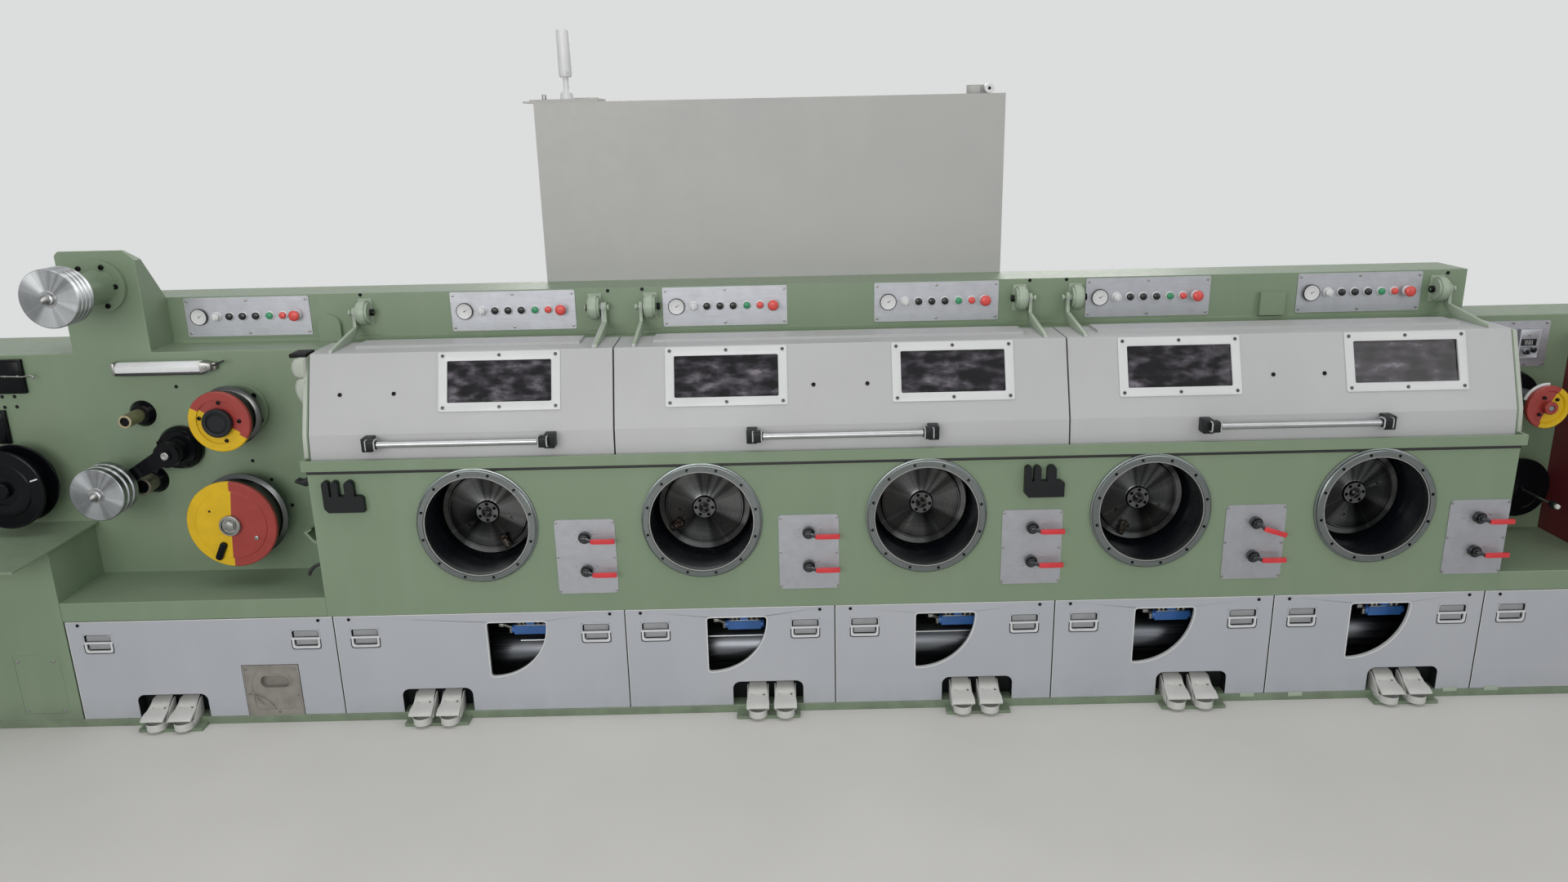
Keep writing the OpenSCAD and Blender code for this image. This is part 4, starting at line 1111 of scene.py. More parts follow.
far = CUT_R - CORNER
outline = (arc(CORNER, -CORNER, CORNER, 180, 90, 4) + arc(far, -CORNER, CORNER, 90, 0, 4)
           + arc(CORNER, -CORNER, far, 0, -90, 20)[1:]
           + arc(CORNER, -far, CORNER, -90, -180, 4)[1:])
chain([at(x, -1.2, z) for x, z in outline + outline[:1]])
welded()
bpy.ops.mesh.extrude_edges_move(TRANSFORM_OT_translate={"value": (0, 16 * MM, 0)})
bpy.ops.mesh.select_all(action="SELECT")
bpy.ops.mesh.normals_make_consistent(inside=False)
hem = settle("hem")
sheet = hem.modifiers.new("sheet", "SOLIDIFY")
sheet.thickness = 4.2 * MM
sheet.offset = 0
take(hem)
bpy.ops.object.modifier_apply(modifier="sheet")
eased(hem, 0.7, 2, 60)
# The fold takes the whiter frame enamel: a painted highlight round each look-in.
dress(spread("look_in_hem_highlights", hem, [put(x, 0, CUT_Z) for x in CUT]), frame_white)

# %% [markdown]
# Between two panels a dark strip stands in the gap as painted shade, and
# beside it and along the top each panel's own fold is a thin pale line in
# whiter enamel, a painted highlight. A black strip under the shelf is a
# painted shadow line, and four small tabs stand in front of the plinth. Where
# a pair of foot switches stands, a black box behind the notch is painted shade.

# %% Seam shade, edge highlights, shadow strip, tabs and foot recess shade
# A dark strip in each gap between panels: painted shade.
strip = block("strip", (-2, -0.5, 32), (2, 2.6, 427))
dress(spread("panel_seam_shade", strip, [put(x, 0, 0) for x in SEAM[1:]]), painted_shade_dark)
# A black strip under the shelf: a painted shadow line.
shadow_strip = block("shelf_shadow_strip", (-2180, -5.4, 972.5), (2090, -0.2, 984.7))
dress(eased(shadow_strip, 1), hose_black)
tab = eased(block("tab", (-27, -3, 0), (27, -0.1, 17)), 1.5)
dress(spread("plinth_tabs", tab, [put(x, 0, z) for x, z in (
    (1396, 16), (1976, 22), (2131, 22), (1215, 18))]), pale_green)
# Pale runs along the top and beside each seam, in whiter enamel: painted highlights on the
# panels' folds.
runs = [block("run", (a + 3.4, -1, 424.6), (b - 3.4, 1.2, 427.6))
        for a, b in zip(PANEL_ENDS, PANEL_ENDS[1:])]
sides = spread("sides", block("side", (2.2, -0.9, 32), (4.6, 1.2, 426)),
               [put(x, 0, 0) for x in SEAM])
dress(eased(one("panel_edge_highlights", runs + [sides]), 0.8), frame_white)

FIRST_PAIR = (SEAM[0] + SEAM[1]) / 2 - 148
NOTCHES = [FIRST_PAIR] + [x + o for x, o in zip(CAP_X, (-213, 220, 200, 200, 190))]
# A black box behind each notch: painted shade of the space behind the panels.
recess = block("recess", (-133, 3.4, 34), (133, 52, 130))
bored(recess, [block("room", (-131.6, -9, 20), (131.6, 50.6, 128.6))])
dress(spread("foot_recess_shade", eased(recess, 0.5), [put(x, 0, 0) for x in NOTCHES]),
      black_abs)

# %% [markdown]
# ## Panel pulls
# A pull is a moulded cup with two pockets: an open slot above for the finger
# tips and a framed pocket below, parted by a raised bar. The cup is a block
# with rounded corners, both pockets are cut into it, and each gets a black
# lining that is open to the front, painted shade at the pocket's edges, with a
# grey moulded back standing in it. A thin dark outline round the lower part of
# the cup is painted shade as well.

# %% Pulls
PULL_Z, PULL_IN, PULL_W = 301, 56, 106


def is_top(c):
    return c.z > 0.06


def is_foot(c):
    return c.z < 0.02


def room(lo, hi):
    """A block that is cut away."""
    return block("room", lo, hi)


cup = softened(block("cup", (-1.5, -1.8, -1.5), (107.5, 23, 78.5)), 11)
eased(bored(cup, [softened(room((4, -9, 46), (102, 18, 74)), 8, is_top),
                  softened(room((9.5, -9, 11), (96.5, 15, 37)), 8, is_foot)]), 1.1, 2, 50)
bead = eased(block("bead", (-1, -3.6, 38.8), (107, 2, 44.6)), 1.6, 3)
slot = softened(block("slot", (4.6, 1.4, 46.6), (101.4, 17.6, 73.4)), 7.6, is_top)
bored(slot, [room((5.2, -3, 47.2), (100.8, 16, 72.8))])
pocket = block("pocket", (10.1, 3.4, 11.6), (95.9, 14.6, 36.4))
bored(pocket, [room((10.8, -3, 12.2), (95.2, 13, 35.8))])
collar = softened(block("collar", (2.5, -2.9, 3), (103.5, 1, 41)), 10, is_foot)
eased(bored(collar, [softened(room((9.5, -9, 11), (96.5, 9, 50)), 8, is_foot)]), 1, 2, 50)
upper = softened(block("upper", (8.4, 5, 45.4), (98, 16, 69.6)), 5, is_top)
lower = block("lower", (13.4, 5, 14.4), (92.6, 13, 34))
edge = softened(block("edge", (-1.2, -2.5, -1), (107.2, -1, 42)), 12, is_foot)
inside = softened(room((1.6, -9, 1.8), (104.4, 9, 60)), 10, is_foot)

spots = [put(x, 0, PULL_Z) for a, b in zip(PANEL_ENDS, PANEL_ENDS[1:])
         for x in (a + PULL_IN, b - PULL_IN - PULL_W)]
pulls = dress(spread("pull_cups", cup, spots), panel_grey)
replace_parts(pulls, "panel_pulls")
# Black linings and the dark outline are painted shade in the pockets and round the cup.
for name, master, material in (
        ("pull_rims", one("rim", [bead, collar]), frame_white),
        ("pull_shade_linings", one("lining", [slot, pocket]), black_abs),
        ("pull_backs", one("backs", [eased(upper, 1.5), eased(lower, 1.5)]), pull_grey),
        ("pull_shade_outlines", eased(bored(edge, [inside]), 0.5), painted_shade_dark)):
    dress(spread(name, master, spots), material)

# %% [markdown]
# ## Foot switches
# Six pairs of foot switches stand in the notches of the panels. Each has a
# moulded shoe with a round toe and two cheeks, and over it a tread that slopes
# down to the front, where it ends in a flatter lip wider than its root. The
# shoe's top is inset and sunk, so its rim catches light. The tread is a side
# view drawn out, and its long edges are then drawn in towards the back.

# %% Foot switches
PEDALS = [FIRST_PAIR] + [x + o for x, o in zip(CAP_X, (-213, 232, 191, 185, 175))]
toe = [(-34, 38), (-34, -44)] + arc(0, -44, 34, 180, 360, 16)[1:-1] + [(34, -44), (34, 38)]
shoe = sawn("shoe", [at(x, y, 12) for x, y in toe], (0, 0, 30))
eased(stepped(shoe, lambda c, n: n.z > 0.9, 4.5, (0, 0, -12)), 1.6, 3, 50)
cheek = side_cut("cheek", 0, [(-44, 30), (38, 30), (38, 99), (24, 96), (6, 84), (-20, 68),
                              (-38, 52)], 5)
cheeks = spread("cheeks", eased(cheek, 1.8, 2, 25), [put(-40, 0, 0), put(35, 0, 0)])
tread = side_cut("tread", -42, [
    (-74, 57), (-73, 52), (-66, 52.5), (-46, 62), (-20, 68), (6, 84), (38, 98), (38, 106),
    (6, 92), (-22, 75), (-48, 69.5), (-70, 61)], 84)
for depth, width in ((-35, 0.92), (-10, 0.88), (20, 0.92)):
    pick(tread, lambda c, d: abs(d.x) > 0.9 and c.y > (FRONT + depth) * MM, "EDGE")
    bpy.ops.transform.resize(value=(width, 1, 1), center_override=(0, 0, 0))
bored(tread, [bar("hole", (23, -12, 60), (23, -12, 100), 5, 20),
              bar("hole", (-23, -12, 60), (-23, -12, 100), 2.4, 16)])
eased(tread, 1.6, 2, 28)
plug = bar("plug", (23, -12, 64), (23, -12, 72), 5.3, 20)
spots = [put(x + s * 51, 0, 0) for x in PEDALS for s in (-1, 1)]
pedals = dress(spread("foot_pedals", one("pedal", [shoe, tread, cheeks]), spots),
               white_abs)
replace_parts(pedals, "foot_switches")
# A dark plug in each hinge hole: painted shade of the hole.
dress(spread("pedal_holes", plug, spots), painted_shade_dark)

# %% [markdown]
# ## Behind the look-ins, and the cast box
# Behind the look-ins run a thin air line and the valves' hose fittings. The
# cast box beside the first pair of pedals shows a lipped oval recess, two
# curved ribs and five screws; its ribs are rings of which only a part is cut.

# %% Fittings and cast box
line = bar("air_line", (-1500, 62, 286), (180, 62, 286), 4.2, 20)
dress(smooth(line), steel)
nut = eased(bar("nut", (22, 70, 349), (40, 70, 349), 11, 6), 1)
pipe = bar("pipe", (36, 70, 349), (62, 84, 330), 6, 20)
elbow = eased(bar("elbow", (60, 86, 336), (60, 86, 308), 8, 20), 1.5)
cap = eased(block("cap", (79, 77, 337.6), (193, 103, 341)), 1)
studs = [eased(bar("stud", (x, 88, 340), (x, 88, 358), r, 6), 1)
         for x, r in ((92, 8), (108, 6), (164, 9), (184, 7))]
dress(spread("valve_fittings", one("fitting", [nut, smooth(pipe), elbow, cap] + studs),
             [put(x, 0, 0) for x in CAP_X]), zinc)


def rib(p, inner, outer, start, end):
    """A part of a flat ring between two angles."""
    return front_cut("rib", -2.4, arc(*p, outer, start, end, 24)
                     + arc(*p, inner, end, start, 24), 2.9)


BOX = (-2527, 0, 31)
lip = softened(block("lip", (58, -2.6, 110), (178, 0.5, 170)), 27)
bored(lip, [softened(room((64, -9, 116), (172, 9, 164)), 22)])
rim = block("rim", (2.5, -2.2, 0.5), (209.5, 2, 206))
bored(rim, [room((8, -9, 5), (204, 9, 200))])
face = [eased(part, 0.9, 2, 45) for part in (
    lip, rim, rib((122, 118), 92, 96, 118, 232), rib((16, -10), 92, 96, 20, 84))]
face = one("cast_box_face", face)
face.data.transform(put(*BOX))
dress(face, grey_cast)
screws("cast_box_screws", zinc, 5, 3, [put(*BOX) @ put(x, 0, z) for x, z in (
    (16, 192), (196, 190), (196, 84), (18, 92), (118, 16))])

# %% [markdown]
# ## Two-coloured wire wheels
# The wire wheels are steel barrels behind a disc that is painted half red and
# half yellow, so that a turning wheel is seen at once. A painted half is a part
# of a lathe shape: its section is spun over half a turn and closed at both
# ends. The line between the colours steps sideways where the inner disc starts.

# %% Painted halves


def around(p, r, y, angles):
    """Places on a circle round the axis through p."""
    return [(p[0] + r * math.cos(math.radians(a)), y, p[1] + r * math.sin(math.radians(a)))
            for a in angles]


def painted(name, p, rims, spans, material, body):
    """One colour of a wheel: an outer and an inner part with their own angles."""
    return dress(one(name, [half("part", p, section, *span)
                            for section, span in zip(rims, spans)]), material, body)


# %% Upper wheel
p, body = UPPER_P, "upper_wheel_body"
rims = ([(81, 98), (107, 98), (110, 101), (110, 116), (81, 116)],
        [(46, 103), (81.2, 103), (81.2, 117), (46, 117)])
red = painted("upper_wheel_red", p, rims, ((-35, 185), (-30, 175)), wheel_red, body)
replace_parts(red, "upper_wheel")
painted("upper_wheel_yellow", p, rims, ((150, 175), (145, 185)), wheel_yellow, body)
lathe("upper_wheel_barrel", p, [
    (0, 114), (103, 114), (103, 118), (97, 121), (95, 124), (94, 150), (95, 180),
    (106, 184), (110, 187), (110, 198), (108, 200), (46, 200), (42, 268.7), (0, 268.7)],
      72, upper_steel, body)
lathe("upper_wheel_cap", p, [
    (0, 80), (31, 80), (33, 82), (36, 82), (38, 77), (42, 76), (48, 76), (52, 79),
    (52, 90), (49, 92), (49, 104), (0, 104)], 64, black_abs, body)
screws("upper_wheel_bolts", dark_steel, 7.5, 5, around(p, 71, 103, (84, 168, 1, -77)),
       body=body)
lathe("upper_wheel_shadow_band", p, [
    (109.7, 116.4), (110.4, 116.4), (110.4, 121), (98, 124), (96, 122), (109.7, 116.4)],
      72, gloss_black, body)

# %% Lower wheel
p, body = LOWER_P, "lower_wheel_body"
rims = ([(129, 91), (160, 91), (163, 94), (163, 107), (129, 107)],
        [(30, 88), (127.5, 88), (129.2, 90), (129.2, 108), (30, 108)])
yellow = painted("lower_wheel_yellow", p, rims, ((86, 180), (82.5, 182)), wheel_yellow,
                 body)
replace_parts(yellow, "lower_wheel")
painted("lower_wheel_red", p, rims, ((266, 180), (264.5, 178)), wheel_red, body)
lathe("lower_wheel_barrel", p, [
    (0, 106), (160, 106), (161, 110), (150, 114), (147, 118), (146, 150), (148, 182),
    (158, 187), (163, 190), (163, 201), (161, 203), (46, 203), (42, 268.7), (0, 268.7)],
      80, lower_steel, body)
hub = turned("hub", p, [
    (0, 73), (5, 73), (9, 71), (11, 70), (12, 74), (22, 74), (23, 78), (29, 78), (31, 72),
    (36, 72), (38.5, 75), (38.5, 90), (0, 90)], 48)
nut = eased(bar("nut", (p[0], 80, p[1]), (p[0], 68, p[1]), 19, 6), 1.2)
dress(one("lower_wheel_hub", [smooth(hub, 30), nut]), zinc, body)
# A dark disc marks a tapped hole: painted shade of its bore.
tap = bar("lower_wheel_hole", (p[0] - 71, 89, p[1] + 54), (p[0] - 71, 87.4, p[1] + 54),
          4.5, 16)
dress(eased(tap, 0.5), painted_shade_dark, body)
screws("lower_wheel_bolt", zinc, 8.5, 5, [(p[0] + 86, 88, p[1] - 51)], 0.5, body)
latch = softened(block("latch", (74, 76, -12.5), (146, 92, 12.5)), 10)
groove = block("groove", (90, 73, -4), (132, 78, 4))
latch = one("lower_wheel_latch", [eased(latch, 3, 3), eased(groove, 1.4)])
latch.data.transform(put(p[0], 0, p[1], spin=244))
dress(latch, gloss_black, body)

# %% [markdown]
# ## Dancer, sheaves and rollers
# The dancer arm swings on a black drum; a bright bolt closes its pivot. Both
# aluminium sheaves are held by a hexagon nut with a pointed nose. Two tubes on
# cones guide the wire: an old brass one, open at its end, and a duller one.

# %% Nuts, bolts and tubes
lathe("dancer_pivot_bolt", DANCER_P, [
    (0, 153), (5, 153), (7, 151), (12, 151), (14.5, 153.5), (14.5, 168), (0, 168)], 32,
      bright_steel, "dancer_body")
lathe("dancer_pivot_ring", DANCER_P, [
    (15, 157), (19, 156), (21, 157.5), (21, 162), (15, 162), (15, 157)], 32,
      gloss_black, "dancer_body")
screws("dancer_drum_bolts", dark_steel, 9, 6,
       [(-2710, 235.5, 1071), (-2714, 235.5, 949), (-2812, 235.5, 1035)])


def nose_nut(name, p, y, body):
    """A hexagon nut with a washer and a pointed nose, its back on depth y."""
    nut = eased(bar("nut", (p[0], y, p[1]), (p[0], y - 14, p[1]), 22, 6), 1.5)
    washer = turned("washer", p, [(0, y - 3), (27, y - 3), (28.5, y - 1.5), (28.5, y + 1),
                                  (0, y + 1)], 40)
    nose = turned("nose", p, [(0, y - 37), (5, y - 36), (8.5, y - 31), (16.5, y - 17),
                              (17, y - 12), (0, y - 12)], 32)
    return dress(one(name, [nut, smooth(washer, 30), smooth(nose, 35)]), bright_steel, body)


def tube(name, p, r, bore, y0, y1, core, face, material):
    """A tube over a rod of radius core whose face is at depth face."""
    lathe(name, p, [(bore, y0), (r - 1, y0), (r, y0 + 1), (r, y1), (core, y1),
                    (core, face - 0.4), (bore, face - 0.4), (bore, y0)], 48, material)


nose_nut("top_sheave_nut", SHEAVE_P, -15, "top_sheave_body")
nose_nut("dancer_sheave_nut", FREE_P, 57, "dancer_sheave_body")
tube("brass_guide_tube", ROLLER_P, 24.5, 17, 165, 264, 22.3, 174, brass)
tube("lower_guide_tube", ROLLER2_P, 32, 25, 196, 265, 30.3, 203, aged_tube)

# %% Bolts on the flanges, tapped holes in the wall
screws("tower_flange_bolts", dark_steel, 9.5, 8,
       [(-3005.6, 269, 1677), (-2923.2, 269, 1680), (-2884, 269, 1610),
        (-2923.3, 269, 1541), (-3010, 269, 1560)])
screws("wheel_flange_bolts", dark_steel, 9.5, 8,
       around(UPPER_P, 80, 269, (44, -28, 116)) + around(LOWER_P, 84, 269, (40, -30)))
# Dark flat discs mark tapped holes in the wall: painted shade of their bores.
hole = turned("hole", (0, 0), [(0, -0.3), (4, -0.4), (5.4, -1.2), (7, -0.3), (7, 0.3),
                               (0, 0.3)], 20)
dress(spread("wall_holes", smooth(hole, 30), [put(x, 289, z) for x, z in (
    (-2743, 1234), (-2505, 942), (-2445, 866), (-2381, 762), (-3391, 1210),
    (-3345, 1210), (-3389, 1170), (-3344, 1171))]), painted_shade_dark)
screws("access_plate_screws", bright_steel, 6.5, 3,
       [(-3211.5, -1.5, 273.9), (-3207.9, -1.5, 72), (-3344, -1.5, 273.9),
        (-3344, -1.5, 72)], 0.5)

# %% [markdown]
# ## Lamp, black panels, rod, stubs and the shaft guard
# The lamp over the pay-off has folded end clips and a short lead. Two flat
# black panels with raised lids hang on the wall left of it, and a hooked rod on
# two stays passes in front of the upper one. A cam lever and a hose end stand
# out behind the housing's corner. A pale lobed guard closes the hinge side of
# the first cover; above it a dark block is the painted shade of a slot.

# %% Lamp and its clips
diffuser = side_cut("lamp_diffuser", -2936, [(245, 1297), (282, 1297), (282, 1333),
                                             (264, 1333), (245, 1318)], 316)
eased(diffuser, 2.5, 3, 25)
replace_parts(dress(diffuser, lamp_white), "lamp_bar")
dress(eased(block("lamp_back", (-2938, 248, 1286), (-2618, 289, 1297.4)), 2), hose_black)
clip = block("clip", (-2622, 240, 1292), (-2584, 289, 1334))
pick(clip, lambda c, n: n.x > 0.9)
bpy.ops.transform.resize(value=(1, 0.7, 0.62), center_override=at(-2584, 275, 1312))
ear = eased(block("ear", (-2590, 262, 1300), (-2572, 289, 1326)), 3)
screw = screws("clip_screw", zinc, 6, 3, [(-2604, 243, 1313)])
back = eased(block("end", (-2944, 243, 1291), (-2932, 289, 1335)), 3)
dress(one("lamp_clips", [eased(clip, 3), ear, screw, back]), zinc)
lead = bar("lamp_lead", (-2580, 262, 1316), (-2531, 248, 1336), 4.2, 16, 3.2)
dress(eased(lead, 1), hose_black)

# %% Black panels, hooked rod, cam lever and hose end
lids = []
for lo, hi in (((-3430, 272, 1224), (-3288, 289, 1351)),
               ((-3490, 274, 1032), (-3387, 289, 1160))):
    lid = stepped(block("lid", lo, hi), lambda c, n: n.y < -0.9, 7, (0, -3, 0), True)
    lids.append(eased(lid, 1.4, 2))
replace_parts(dress(one("sensor_panels", lids), gloss_black),
            "sensor_boxes")


def wire(name, places, r, material):
    """A bent round wire: a chain through places in mm, given a skin."""
    chain([at(*place) for place in places])
    piece = settle(name)
    take(piece)
    piece.modifiers.new("skin", "SKIN").use_smooth_shade = True
    for point in piece.data.skin_vertices[0].data:
        point.radius = (r * MM, r * MM)
    bpy.ops.object.modifier_apply(modifier="skin")
    piece.modifiers.new("round", "SUBSURF").levels = 2
    bpy.ops.object.modifier_apply(modifier="round")
    dress(smooth(piece, 60), material)


wire("hooked_rod", [(-3362, 262, 1293), (-3280, 262, 1289.5), (-3255, 262, 1295),
                    (-3241, 262, 1290), (-3243, 262, 1282), (-3250, 262, 1281)], 3.2, zinc)
for end, x in (("left", -3346), ("right", -3300)):
    stay = bar(f"rod_stay_{end}", (x, 260, 1291.4), (x, 272, 1291.4), 4, 16)
    dress(eased(stay, 0.8), zinc)
cam = front_cut("cam_lever", 70, [(-2181, 915), (-2222, 905), (-2246, 914), (-2262, 922),
                                  (-2255, 932), (-2236, 926), (-2214, 940), (-2181, 946)],
                34)
dress(eased(cam, 3), black_abs)
wire("hose_end", [(-2181, 60, 612), (-2208, 60, 610), (-2231, 60, 600), (-2246, 60, 583),
                  (-2252, 60, 566)], 7, hose_black)

# %% Shaft guard
LOBES = (
    (122, [(-2181, 1366), (-2206, 1366), (-2222, 1361), (-2232, 1348), (-2236, 1329),
           (-2234, 1311), (-2226, 1297), (-2212, 1290), (-2181, 1290)]),
    (114, [(-2181, 1293), (-2208, 1291), (-2221, 1283), (-2228, 1267), (-2229, 1248),
           (-2224, 1226), (-2214, 1205), (-2200, 1188), (-2181, 1180)]))
lobes = [smooth(eased(stepped(front_cut("lobe", y, line, 74), lambda c, n: n.y < -0.9, 9,
                              (0, -9, 0)), 4, 4, 15), 50) for y, line in LOBES]
dress(one("shaft_guard", lobes), sheet_pale)
# A dark block above the guard: painted shade of a slot.
dress(eased(block("guard_slot_shade", (-2240, 128, 1364), (-2181, 210, 1378)), 2), painted_shade_dark)

# %% [markdown]
# The open ends of the cover row are closed by sheets folded to the covers' own
# side view. Only their folded rim shows, so that is what is drawn out.

# %% Folded sheets at the covers' ends
FOLD = [(30, 1013), (41, 1104), (143, 1366), (345, 1366), (345, 1363), (145, 1363),
        (43.6, 1103), (32.8, 1013)]
for side, x in (("left", -2195), ("right", 2090)):
    dress(eased(side_cut(f"end_sheet_{side}", x, FOLD, 15), 0.8), sheet_pale)

# %% [markdown]
# ## Reel
# The reel keeps its CAD flanges; a turned step, a rim and two small bright
# windows are added to its face, which is where the picture shows them.

# %% Reel face
p, body = REEL_P, "left_reel_body"
face = turned("step", p, [(58, 118.4), (58, 114.5), (61, 113.6), (98, 114), (101, 115.5),
                          (104, 118.4), (58, 118.4)], 72)
rim = turned("rim", p, [(139, 118.6), (139.6, 116), (144, 115.4), (147.6, 117),
                        (148.2, 121), (146, 121), (139, 118.6)], 72)
dress(one("reel_rings", [smooth(face, 25), smooth(rim, 25)]), gloss_black, body)
window = eased(block("window", (108, 117, -2.6), (138, 119, 2.6)), 0.6)
dress(spread("reel_windows", window, [put(p[0], 0, p[1], spin=a) for a in (17, 197)]),
      lamp_white, body)

# %% [markdown]
# ## Right end
# The counter plate carries a framed module with a dark display and two key
# switches. The take-up wheel is painted red and yellow over a paler disc that
# shows at its upper left, and its red hub keeps a steel core between three
# slots. Below it a large black disc carries a thin bright rod with a knob.

# %% Counter plate
screws("counter_screws", zinc, 5.5, 3, [
    (x, 434, z) for x, z in ((2412.5, 1334), (2415, 1173), (2283, 1335), (2345, 1173),
                             (2151, 1335), (2151, 1173))], 0.5)
bezel = softened(block("counter_bezel", (2306.6, 417.6, 1197), (2387.4, 422.5, 1311)), 3)
bored(bezel, [room((2313, 410, 1248), (2372, 430, 1274)),
              room((2313, 410, 1204), (2380, 419, 1243))])
dress(eased(bezel, 1, 2, 50), plate_alloy)
screen = block("counter_display", (2312.6, 419.6, 1247.6), (2372.4, 423, 1274.4))
dress(eased(screen, 0.5), black_abs)
digit = block("digit", (0, 418.9, 1252), (1.8, 419.8, 1269))
dress(spread("counter_digits", digit,
             [put(x, 0, 0) for x in (2330, 2336, 2343, 2349, 2356)]), dial_white)
key = one("key", [eased(bar("round", (0, 1, 0), (0, -8, 0), 10.5, 28), 1.4),
                  eased(block("grip", (-3.5, -17, -9), (3.5, -6, 9)), 1.6)])
dress(spread("counter_keys", key, [put(2338, 419, 1226, spin=28),
                                   put(2364, 419, 1232, spin=-20)]), black_abs)
screws("bezel_screw", zinc, 4.5, 2.4, [(2342, 418, 1290)], 0.5)

# %% Take-up wheel
p, body = RWHEEL_P, "right_wheel_body"
disc = [(24, 215), (58, 216), (62, 209), (78, 209), (80.4, 212), (80.4, 225), (24, 225)]
red = dress(half("right_wheel_red", p, disc, 62, 188), wheel_red, body)
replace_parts(red, "right_wheel")
dress(half("right_wheel_yellow", p, disc, 250, 172), wheel_yellow, body)
dress(half("right_wheel_pale_part", p, [(60, 226), (86, 226), (88, 228), (88, 233),
                                        (60, 233)], 88, 74), knob_white, body)
lathe("right_wheel_core", p, [
    (0, 192), (9, 192), (11, 194), (11, 226), (72, 226), (70, 236), (40, 240),
    (34, 399.7), (0, 399.7)], 56, pulley_steel, body)
lathe("right_wheel_hub", p, [(12, 190), (21, 190), (24, 193), (24.5, 216), (12, 216),
                             (12, 190)], 44, wheel_red, body)
# Dark blocks stand in the three slots: painted shade of the openings.
slot = softened(block("slot", (34, 207.5, -5.5), (46, 217, 5.5)), 4.5)
dress(spread("right_wheel_slots", slot, [put(p[0], 0, p[1], spin=a)
                                         for a in (44, 118, 224)]), painted_shade_dark, body)

# %% Black disc with a rod
p, body = RDISC_P, "right_disc_body"
disc = turned("right_disc_plate", p, [
    (0, 366), (9, 366), (11, 369), (11, 378), (36, 380), (38, 386), (84, 388), (86, 386),
    (113, 387), (118, 391), (118, 404), (113, 408), (50, 410), (48, 414.7), (0, 414.7)], 72)
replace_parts(dress(smooth(disc, 30), gloss_black, body), "right_disc")
rod = bar("right_disc_rod", (p[0], 206, p[1]), (p[0], 368, p[1]), 4.2, 20)
dress(eased(rod, 0.8), bright_steel, body)
lathe("right_disc_knob", p, [(0, 172), (9, 172), (13, 176), (14.5, 184), (14, 194),
                             (10.5, 203), (7, 210), (0, 211)], 36, black_abs, body, 50)
lathe("right_disc_tip", p, [(0, 160), (6, 160), (9, 163), (10, 170), (8, 174), (0, 174)],
      32, white_abs, body, 50)

# %% [markdown]
# ## On the cabinet
# A white signal lamp stands on the cabinet's left corner on a short post, and
# beside it lie a thin plate and, far right, a small box and a standing ring.
# Each is spun or cut as one part and sits on the sheet below it.

# %% Signal lamp, plate, box and ring
LAMP_X, LAMP_Y = -1300, 717.3
dress(upright("signal_lamp", LAMP_X, LAMP_Y, [
    (0, 2478), (20, 2478), (24, 2474), (24.6, 2470), (24.6, 2316), (23, 2310), (21, 2307),
    (0, 2307)]), knob_white)
dress(upright("signal_lamp_post", LAMP_X, LAMP_Y, [
    (0, 2308), (10.5, 2308), (10.5, 2262), (15, 2256), (23, 2250), (25.5, 2230),
    (26, 2215), (0, 2215)]), frame_white)
dot = bar("signal_lamp_stud", (LAMP_X + 12, LAMP_Y - 21, 2322),
          (LAMP_X + 12, LAMP_Y - 25, 2322), 3.6, 16)
dress(eased(dot, 0.6), zinc)
plate = eased(block("plate", (-1468, 700, 2215.2), (-1200, 880, 2222)), 1)
stud = eased(bar("stud", (-1395, 760, 2221), (-1395, 760, 2246), 9, 20), 2)
rail = eased(block("rail", (-1330, 852, 2220), (-1200, 876, 2234)), 2)
dress(one("top_plate", [plate, stud, rail]), zinc)
dress(eased(block("top_box", (237, 690, 2215.2), (275, 740, 2243)), 2.5), cabinet_white)
RING_P = (309, 2233.6)
lathe("top_ring", RING_P, [(6.5, 690), (17, 690), (18.2, 692), (18.2, 722), (17, 724),
                           (6.5, 724), (6.5, 690)], 40, knob_white)
lathe("top_ring_core", RING_P, [(0, 696), (6.8, 696), (6.8, 718), (0, 718)], 32, black_abs)

# %% [markdown]
# ## Floor, background and light
# A plain pale studio. The floor and the background carry the pale tone, so
# that glass and metal mirror it as well, and far out the floor runs over into
# the background's own tone, so no horizon shows. The lamps stay at a level
# where a colour renders about as it is written: broad and soft from the front
# and above, with a fill from the right and one behind for the back views.

# %% Studio
BACKDROP, FLOOR, FLOOR_PATCH = "#dcdddd", "#cfcecb", "#c9c8c5"
LAMPS = (("roof_light", (-0.4, -1.2, 5.2), (-0.4, 0.2, 0.8), (8, 3), 95),
         ("front_light", (-2.2, -6.5, 2.6), (-0.4, 0, 0.9), (6, 2.4), 225),
         ("right_fill", (4.8, -4.6, 3.0), (0.4, 0, 0.9), (3, 3), 55),
         ("back_fill", (0, 5.5, 4.0), (-0.4, 0, 1.0), (6, 3), 140))


def seen_rays(tree):
    """One where a ray from the camera, a mirror or a glass arrives."""
    path = add(tree, "LightPath")
    seen = add(tree, "Math", {0: path.outputs["Is Camera Ray"],
                              1: path.outputs["Is Glossy Ray"]}, operation="MAXIMUM")
    return add(tree, "Math", {0: seen, 1: path.outputs["Is Transmission Ray"]},
               operation="MAXIMUM")


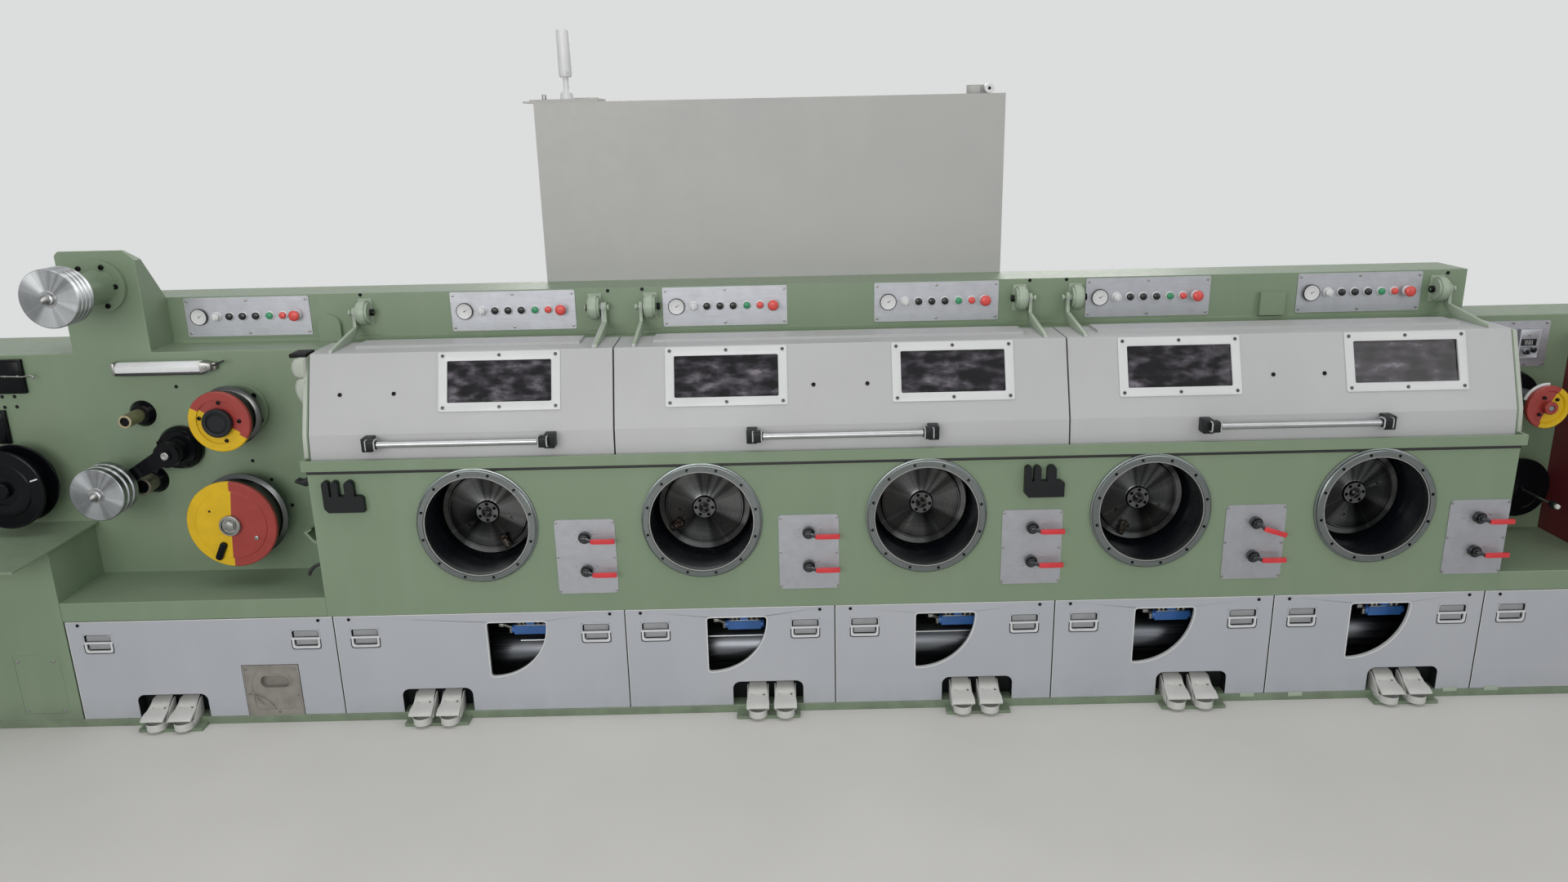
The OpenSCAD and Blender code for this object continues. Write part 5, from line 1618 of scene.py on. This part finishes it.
def studio_floor():
    rest()
    bpy.ops.mesh.primitive_circle_add(vertices=96, radius=40, fill_type="NGON",
                                      location=(0, 0, 0))
    floor = settle("studio_floor")
    mat, tree, shader, place = finish_of("pale_studio_floor", FLOOR, 0.7)
    tone = patched(tree, srgb(FLOOR), FLOOR_PATCH, place, 900, 0.35, 0.65, detail=4)
    tree.links.new(tone, shader.inputs["Base Color"])
    far = add(tree, "VectorMath", {0: place}, operation="LENGTH").outputs["Value"]
    far = add(tree, "MapRange", {"Value": far, "From Min": 3.6, "From Max": 8.5},
              interpolation_type="SMOOTHSTEP")
    seen = add(tree, "Math", {0: seen_rays(tree), 1: far}, operation="MULTIPLY")
    haze = add(tree, "Emission", {"Color": srgb(BACKDROP), "Strength": 1.0})
    mix = add(tree, "MixShader", {0: seen, 1: shader, 2: haze})
    out = [n for n in tree.nodes if n.bl_idname == "ShaderNodeOutputMaterial"][0]
    tree.links.new(mix.outputs[0], out.inputs["Surface"])
    floor.data.materials.append(mat)


def studio_world():
    world = bpy.data.worlds.new("studio")
    bpy.context.scene.world = world
    world.use_nodes = True
    tree = world.node_tree
    tree.nodes.clear()
    soft = add(tree, "Background", {"Color": srgb("#f4f6f8"), "Strength": 0.36})
    pale = add(tree, "Background", {"Color": srgb(BACKDROP), "Strength": 1.0})
    mix = add(tree, "MixShader", {0: seen_rays(tree), 1: soft, 2: pale})
    add(tree, "OutputWorld", {"Surface": mix})


def softbox(name, where, towards, size, power):
    lamp = bpy.data.lights.new(name, "AREA")
    lamp.shape = "RECTANGLE"
    lamp.size, lamp.size_y = size
    lamp.energy = power
    lamp.color = (1.0, 0.985, 0.965)
    holder = bpy.data.objects.new(name, lamp)
    aim = Vector(towards) - Vector(where)
    holder.matrix_world = (Matrix.Translation(where)
                           @ aim.to_track_quat("-Z", "Y").to_matrix().to_4x4())
    bpy.context.scene.collection.objects.link(holder)


studio_floor()
studio_world()
for lamp in LAMPS:
    softbox(*lamp)
bpy.context.scene.view_settings.view_transform = "Standard"
print("lamps:", len(bpy.data.lights))
